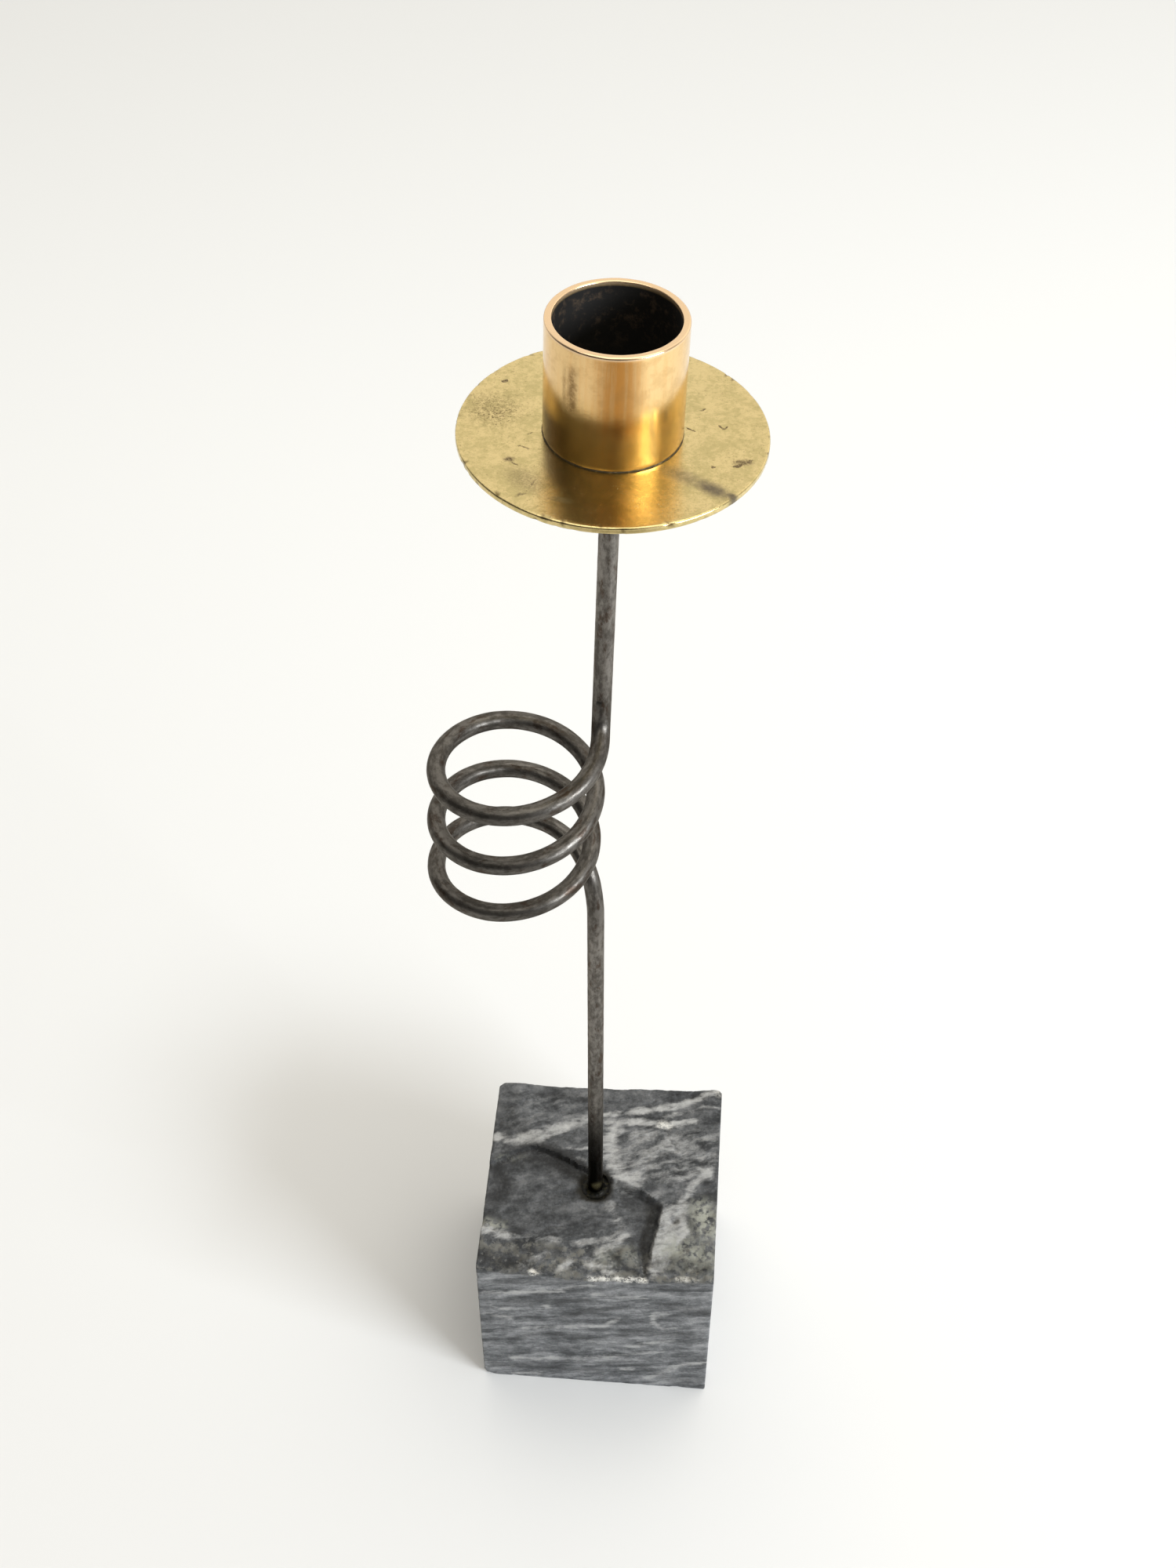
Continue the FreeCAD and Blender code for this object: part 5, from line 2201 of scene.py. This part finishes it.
@dataclass
class CandleCup(TurnedPiece):
    """The brass tube that takes the candle: a rounded lip, an eased mouth and a sooted bore."""

    label: str = "brass_cup"
    node: str = "candle_cup"
    slot: str = "cup_brass"
    finish: Finish = CupBrass()
    steps: int = 224
    longest: float = 0.7
    bore_radius: float = SHARED.cup_bore_radius
    wall: float = 1.35
    height: float = SHARED.cup_height
    film: float = SHARED.film
    lip_round: float = 0.42
    mouth_round: float = 0.28

    def section(self) -> list[Corner]:
        """The half section: a plain wall with an eased lip and foot.

        Returns:
            The corners in order.
        """
        outer = self.bore_radius + self.wall
        top = self.film + self.height - 0.02
        return [
            Corner(self.bore_radius, self.film),
            Corner(outer, self.film, 0.12, 3),
            Corner(outer, top, self.lip_round, 6),
            Corner(self.bore_radius, top, self.mouth_round, 4),
        ]

    def work(self, piece: bpy.types.Object) -> None:
        """Leave the cup a hair out of true, wear its lip, and keep where it is sooted.

        Args:
            piece: The mesh, upright about the origin.
        """
        places = read_places(piece)
        radius, outward = from_axis(places)
        long_waves = ripple(places * np.array([1.0, 1.0, 0.25]), 7.0, 71.0, 2)
        hand = ripple(places * np.array([1.0, 1.0, 2.0]), 3.0, 72.0, 2)
        low = ease(places[:, 2], 9.0, 3.0)
        places += outward * (0.012 * long_waves + 0.010 * low * hand - 0.012)[:, None]
        top = self.film + self.height
        worn = ease(places[:, 2], top - 0.6, top - 0.1)
        places[:, 2] -= worn * 0.03 * (1 + ripple(places, 2.5, 73.0, 2))
        write_places(piece, places)
        within = ease(radius, self.bore_radius + 0.16, self.bore_radius + 0.04)
        below = ease(places[:, 2], top - 0.15, top - 0.5 - 0.4 * np.abs(ripple(places, 1.2, 74.0, 2)))
        keep_values(piece, "soot", within * below)


# Room


@dataclass(frozen=True)
class Lamp:
    """A soft rectangular light: its way and distance from the holder in metres, its size and power."""

    name: str
    way: Triple
    distance: float
    width: float
    height: float
    power: float
    colour: Colour

    def hang(self, aim: Vector) -> None:
        """Hang the light so that it faces a place.

        Args:
            aim: The place, in metres.
        """
        direction = Vector(self.way).normalized()
        bpy.ops.object.light_add(type="AREA", location=aim + direction * self.distance)
        lamp = bpy.context.object
        lamp.name = self.name
        lamp.rotation_euler = direction.to_track_quat("Z", "Y").to_euler()
        lamp.data.shape = "RECTANGLE"
        lamp.data.size = self.width
        lamp.data.size_y = self.height
        lamp.data.energy = self.power
        lamp.data.color = self.colour


@dataclass
class Room:
    """The table, the window to the front right, the light overhead and the view of the photograph."""

    table_size: float = 9.0
    aim: Triple = (0.0, 0.0, 0.12)
    lamps: tuple[Lamp, ...] = (
        Lamp("window", (0.790, -0.440, 0.426), 1.6, 0.72, 0.42, 23.0, (0.89, 0.94, 1.0)),
        Lamp("ceiling", (0.05, -0.05, 1.25), 1.252, 1.5, 1.0, 6.7, (1.0, 0.965, 0.885)),
    )
    pane_way: Triple = (0.60, -0.40, 0.69)
    air: Colour = (1.0, 0.96, 0.885)
    backdrop: Colour = (0.95, 0.948, 0.935)
    eye: Triple = (19.97, -281.625, 518.262)
    heading: float = -4.756
    downward: float = 47.467
    roll: float = -0.207
    lens: float = 46.51
    sensor: float = 36.0

    def furnish(self) -> None:
        """Set the table, the lights, the room's own light and the camera."""
        self._table()
        for lamp in self.lamps:
            lamp.hang(Vector(self.aim))
        self._room_light()
        self._camera()
        bpy.context.scene.view_settings.view_transform = "Standard"

    def _table(self) -> None:
        """Lay the table top under the holder."""
        bpy.ops.mesh.primitive_plane_add(size=self.table_size)
        table = bpy.context.object
        table.name = "table_top"
        table.data.materials.append(TableTop().mix_up())

    def _room_light(self) -> None:
        """Light from the room itself: dim in front and at the left, bright behind, and a window."""
        world = bpy.data.worlds.new("room")
        bpy.context.scene.world = world
        world.use_nodes = True
        recipe = Recipe(world.node_tree)
        way = recipe.node("ShaderNodeTexCoord", output="Generated")
        right, back, up = recipe.split(way)
        behind = recipe.ease(back + up * 0.35, 0.15, 0.80)
        toward = recipe.vector_math("DOT_PRODUCT", way, Vector(self.pane_way).normalized(), 1)
        pane = recipe.ease(toward, 0.86, 0.98)
        level = 0.10 + behind * 0.90 + recipe.ease(right, 0.1, 0.9) * 0.38 + pane * 0.75
        seen = recipe.node("ShaderNodeLightPath", output="Is Camera Ray")
        shown = recipe.mix(seen, recipe.tint(self.air, level), self.backdrop)
        light = recipe.node("ShaderNodeBackground", None, {"Color": shown, "Strength": 1.0})
        recipe.node("ShaderNodeOutputWorld", None, {"Surface": light})

    def _camera(self) -> None:
        """Set the camera where the photograph was taken."""
        azimuth = math.radians(self.heading)
        down = math.radians(self.downward)
        roll = math.radians(self.roll)
        level_way = Vector((math.sin(azimuth), math.cos(azimuth), 0.0))
        ahead = level_way * math.cos(down) - UP * math.sin(down)
        level_right = ahead.cross(UP).normalized()
        level_up = level_right.cross(ahead)
        right = level_right * math.cos(roll) + level_up * math.sin(roll)
        upward = level_up * math.cos(roll) - level_right * math.sin(roll)
        turn = Matrix((right, upward, -ahead)).transposed().to_4x4()
        bpy.ops.object.camera_add()
        camera = bpy.context.object
        camera.name = "photograph_view"
        camera.matrix_world = Matrix.Translation(Vector(self.eye) * MM) @ turn
        camera.data.lens = self.lens
        camera.data.sensor_width = self.sensor
        camera.data.clip_start = 0.01
        bpy.context.scene.camera = camera


def main() -> None:
    """Build the holder piece by piece, then the room round it."""
    logging.basicConfig(level=logging.INFO, format="%(message)s")
    for kind in (StoneBase, SocketResin, SpiralStem, PanBraze, DripPan, CupSolder, CandleCup):
        kind().make()
    Room().furnish()


if __name__ == "__main__":
    main()
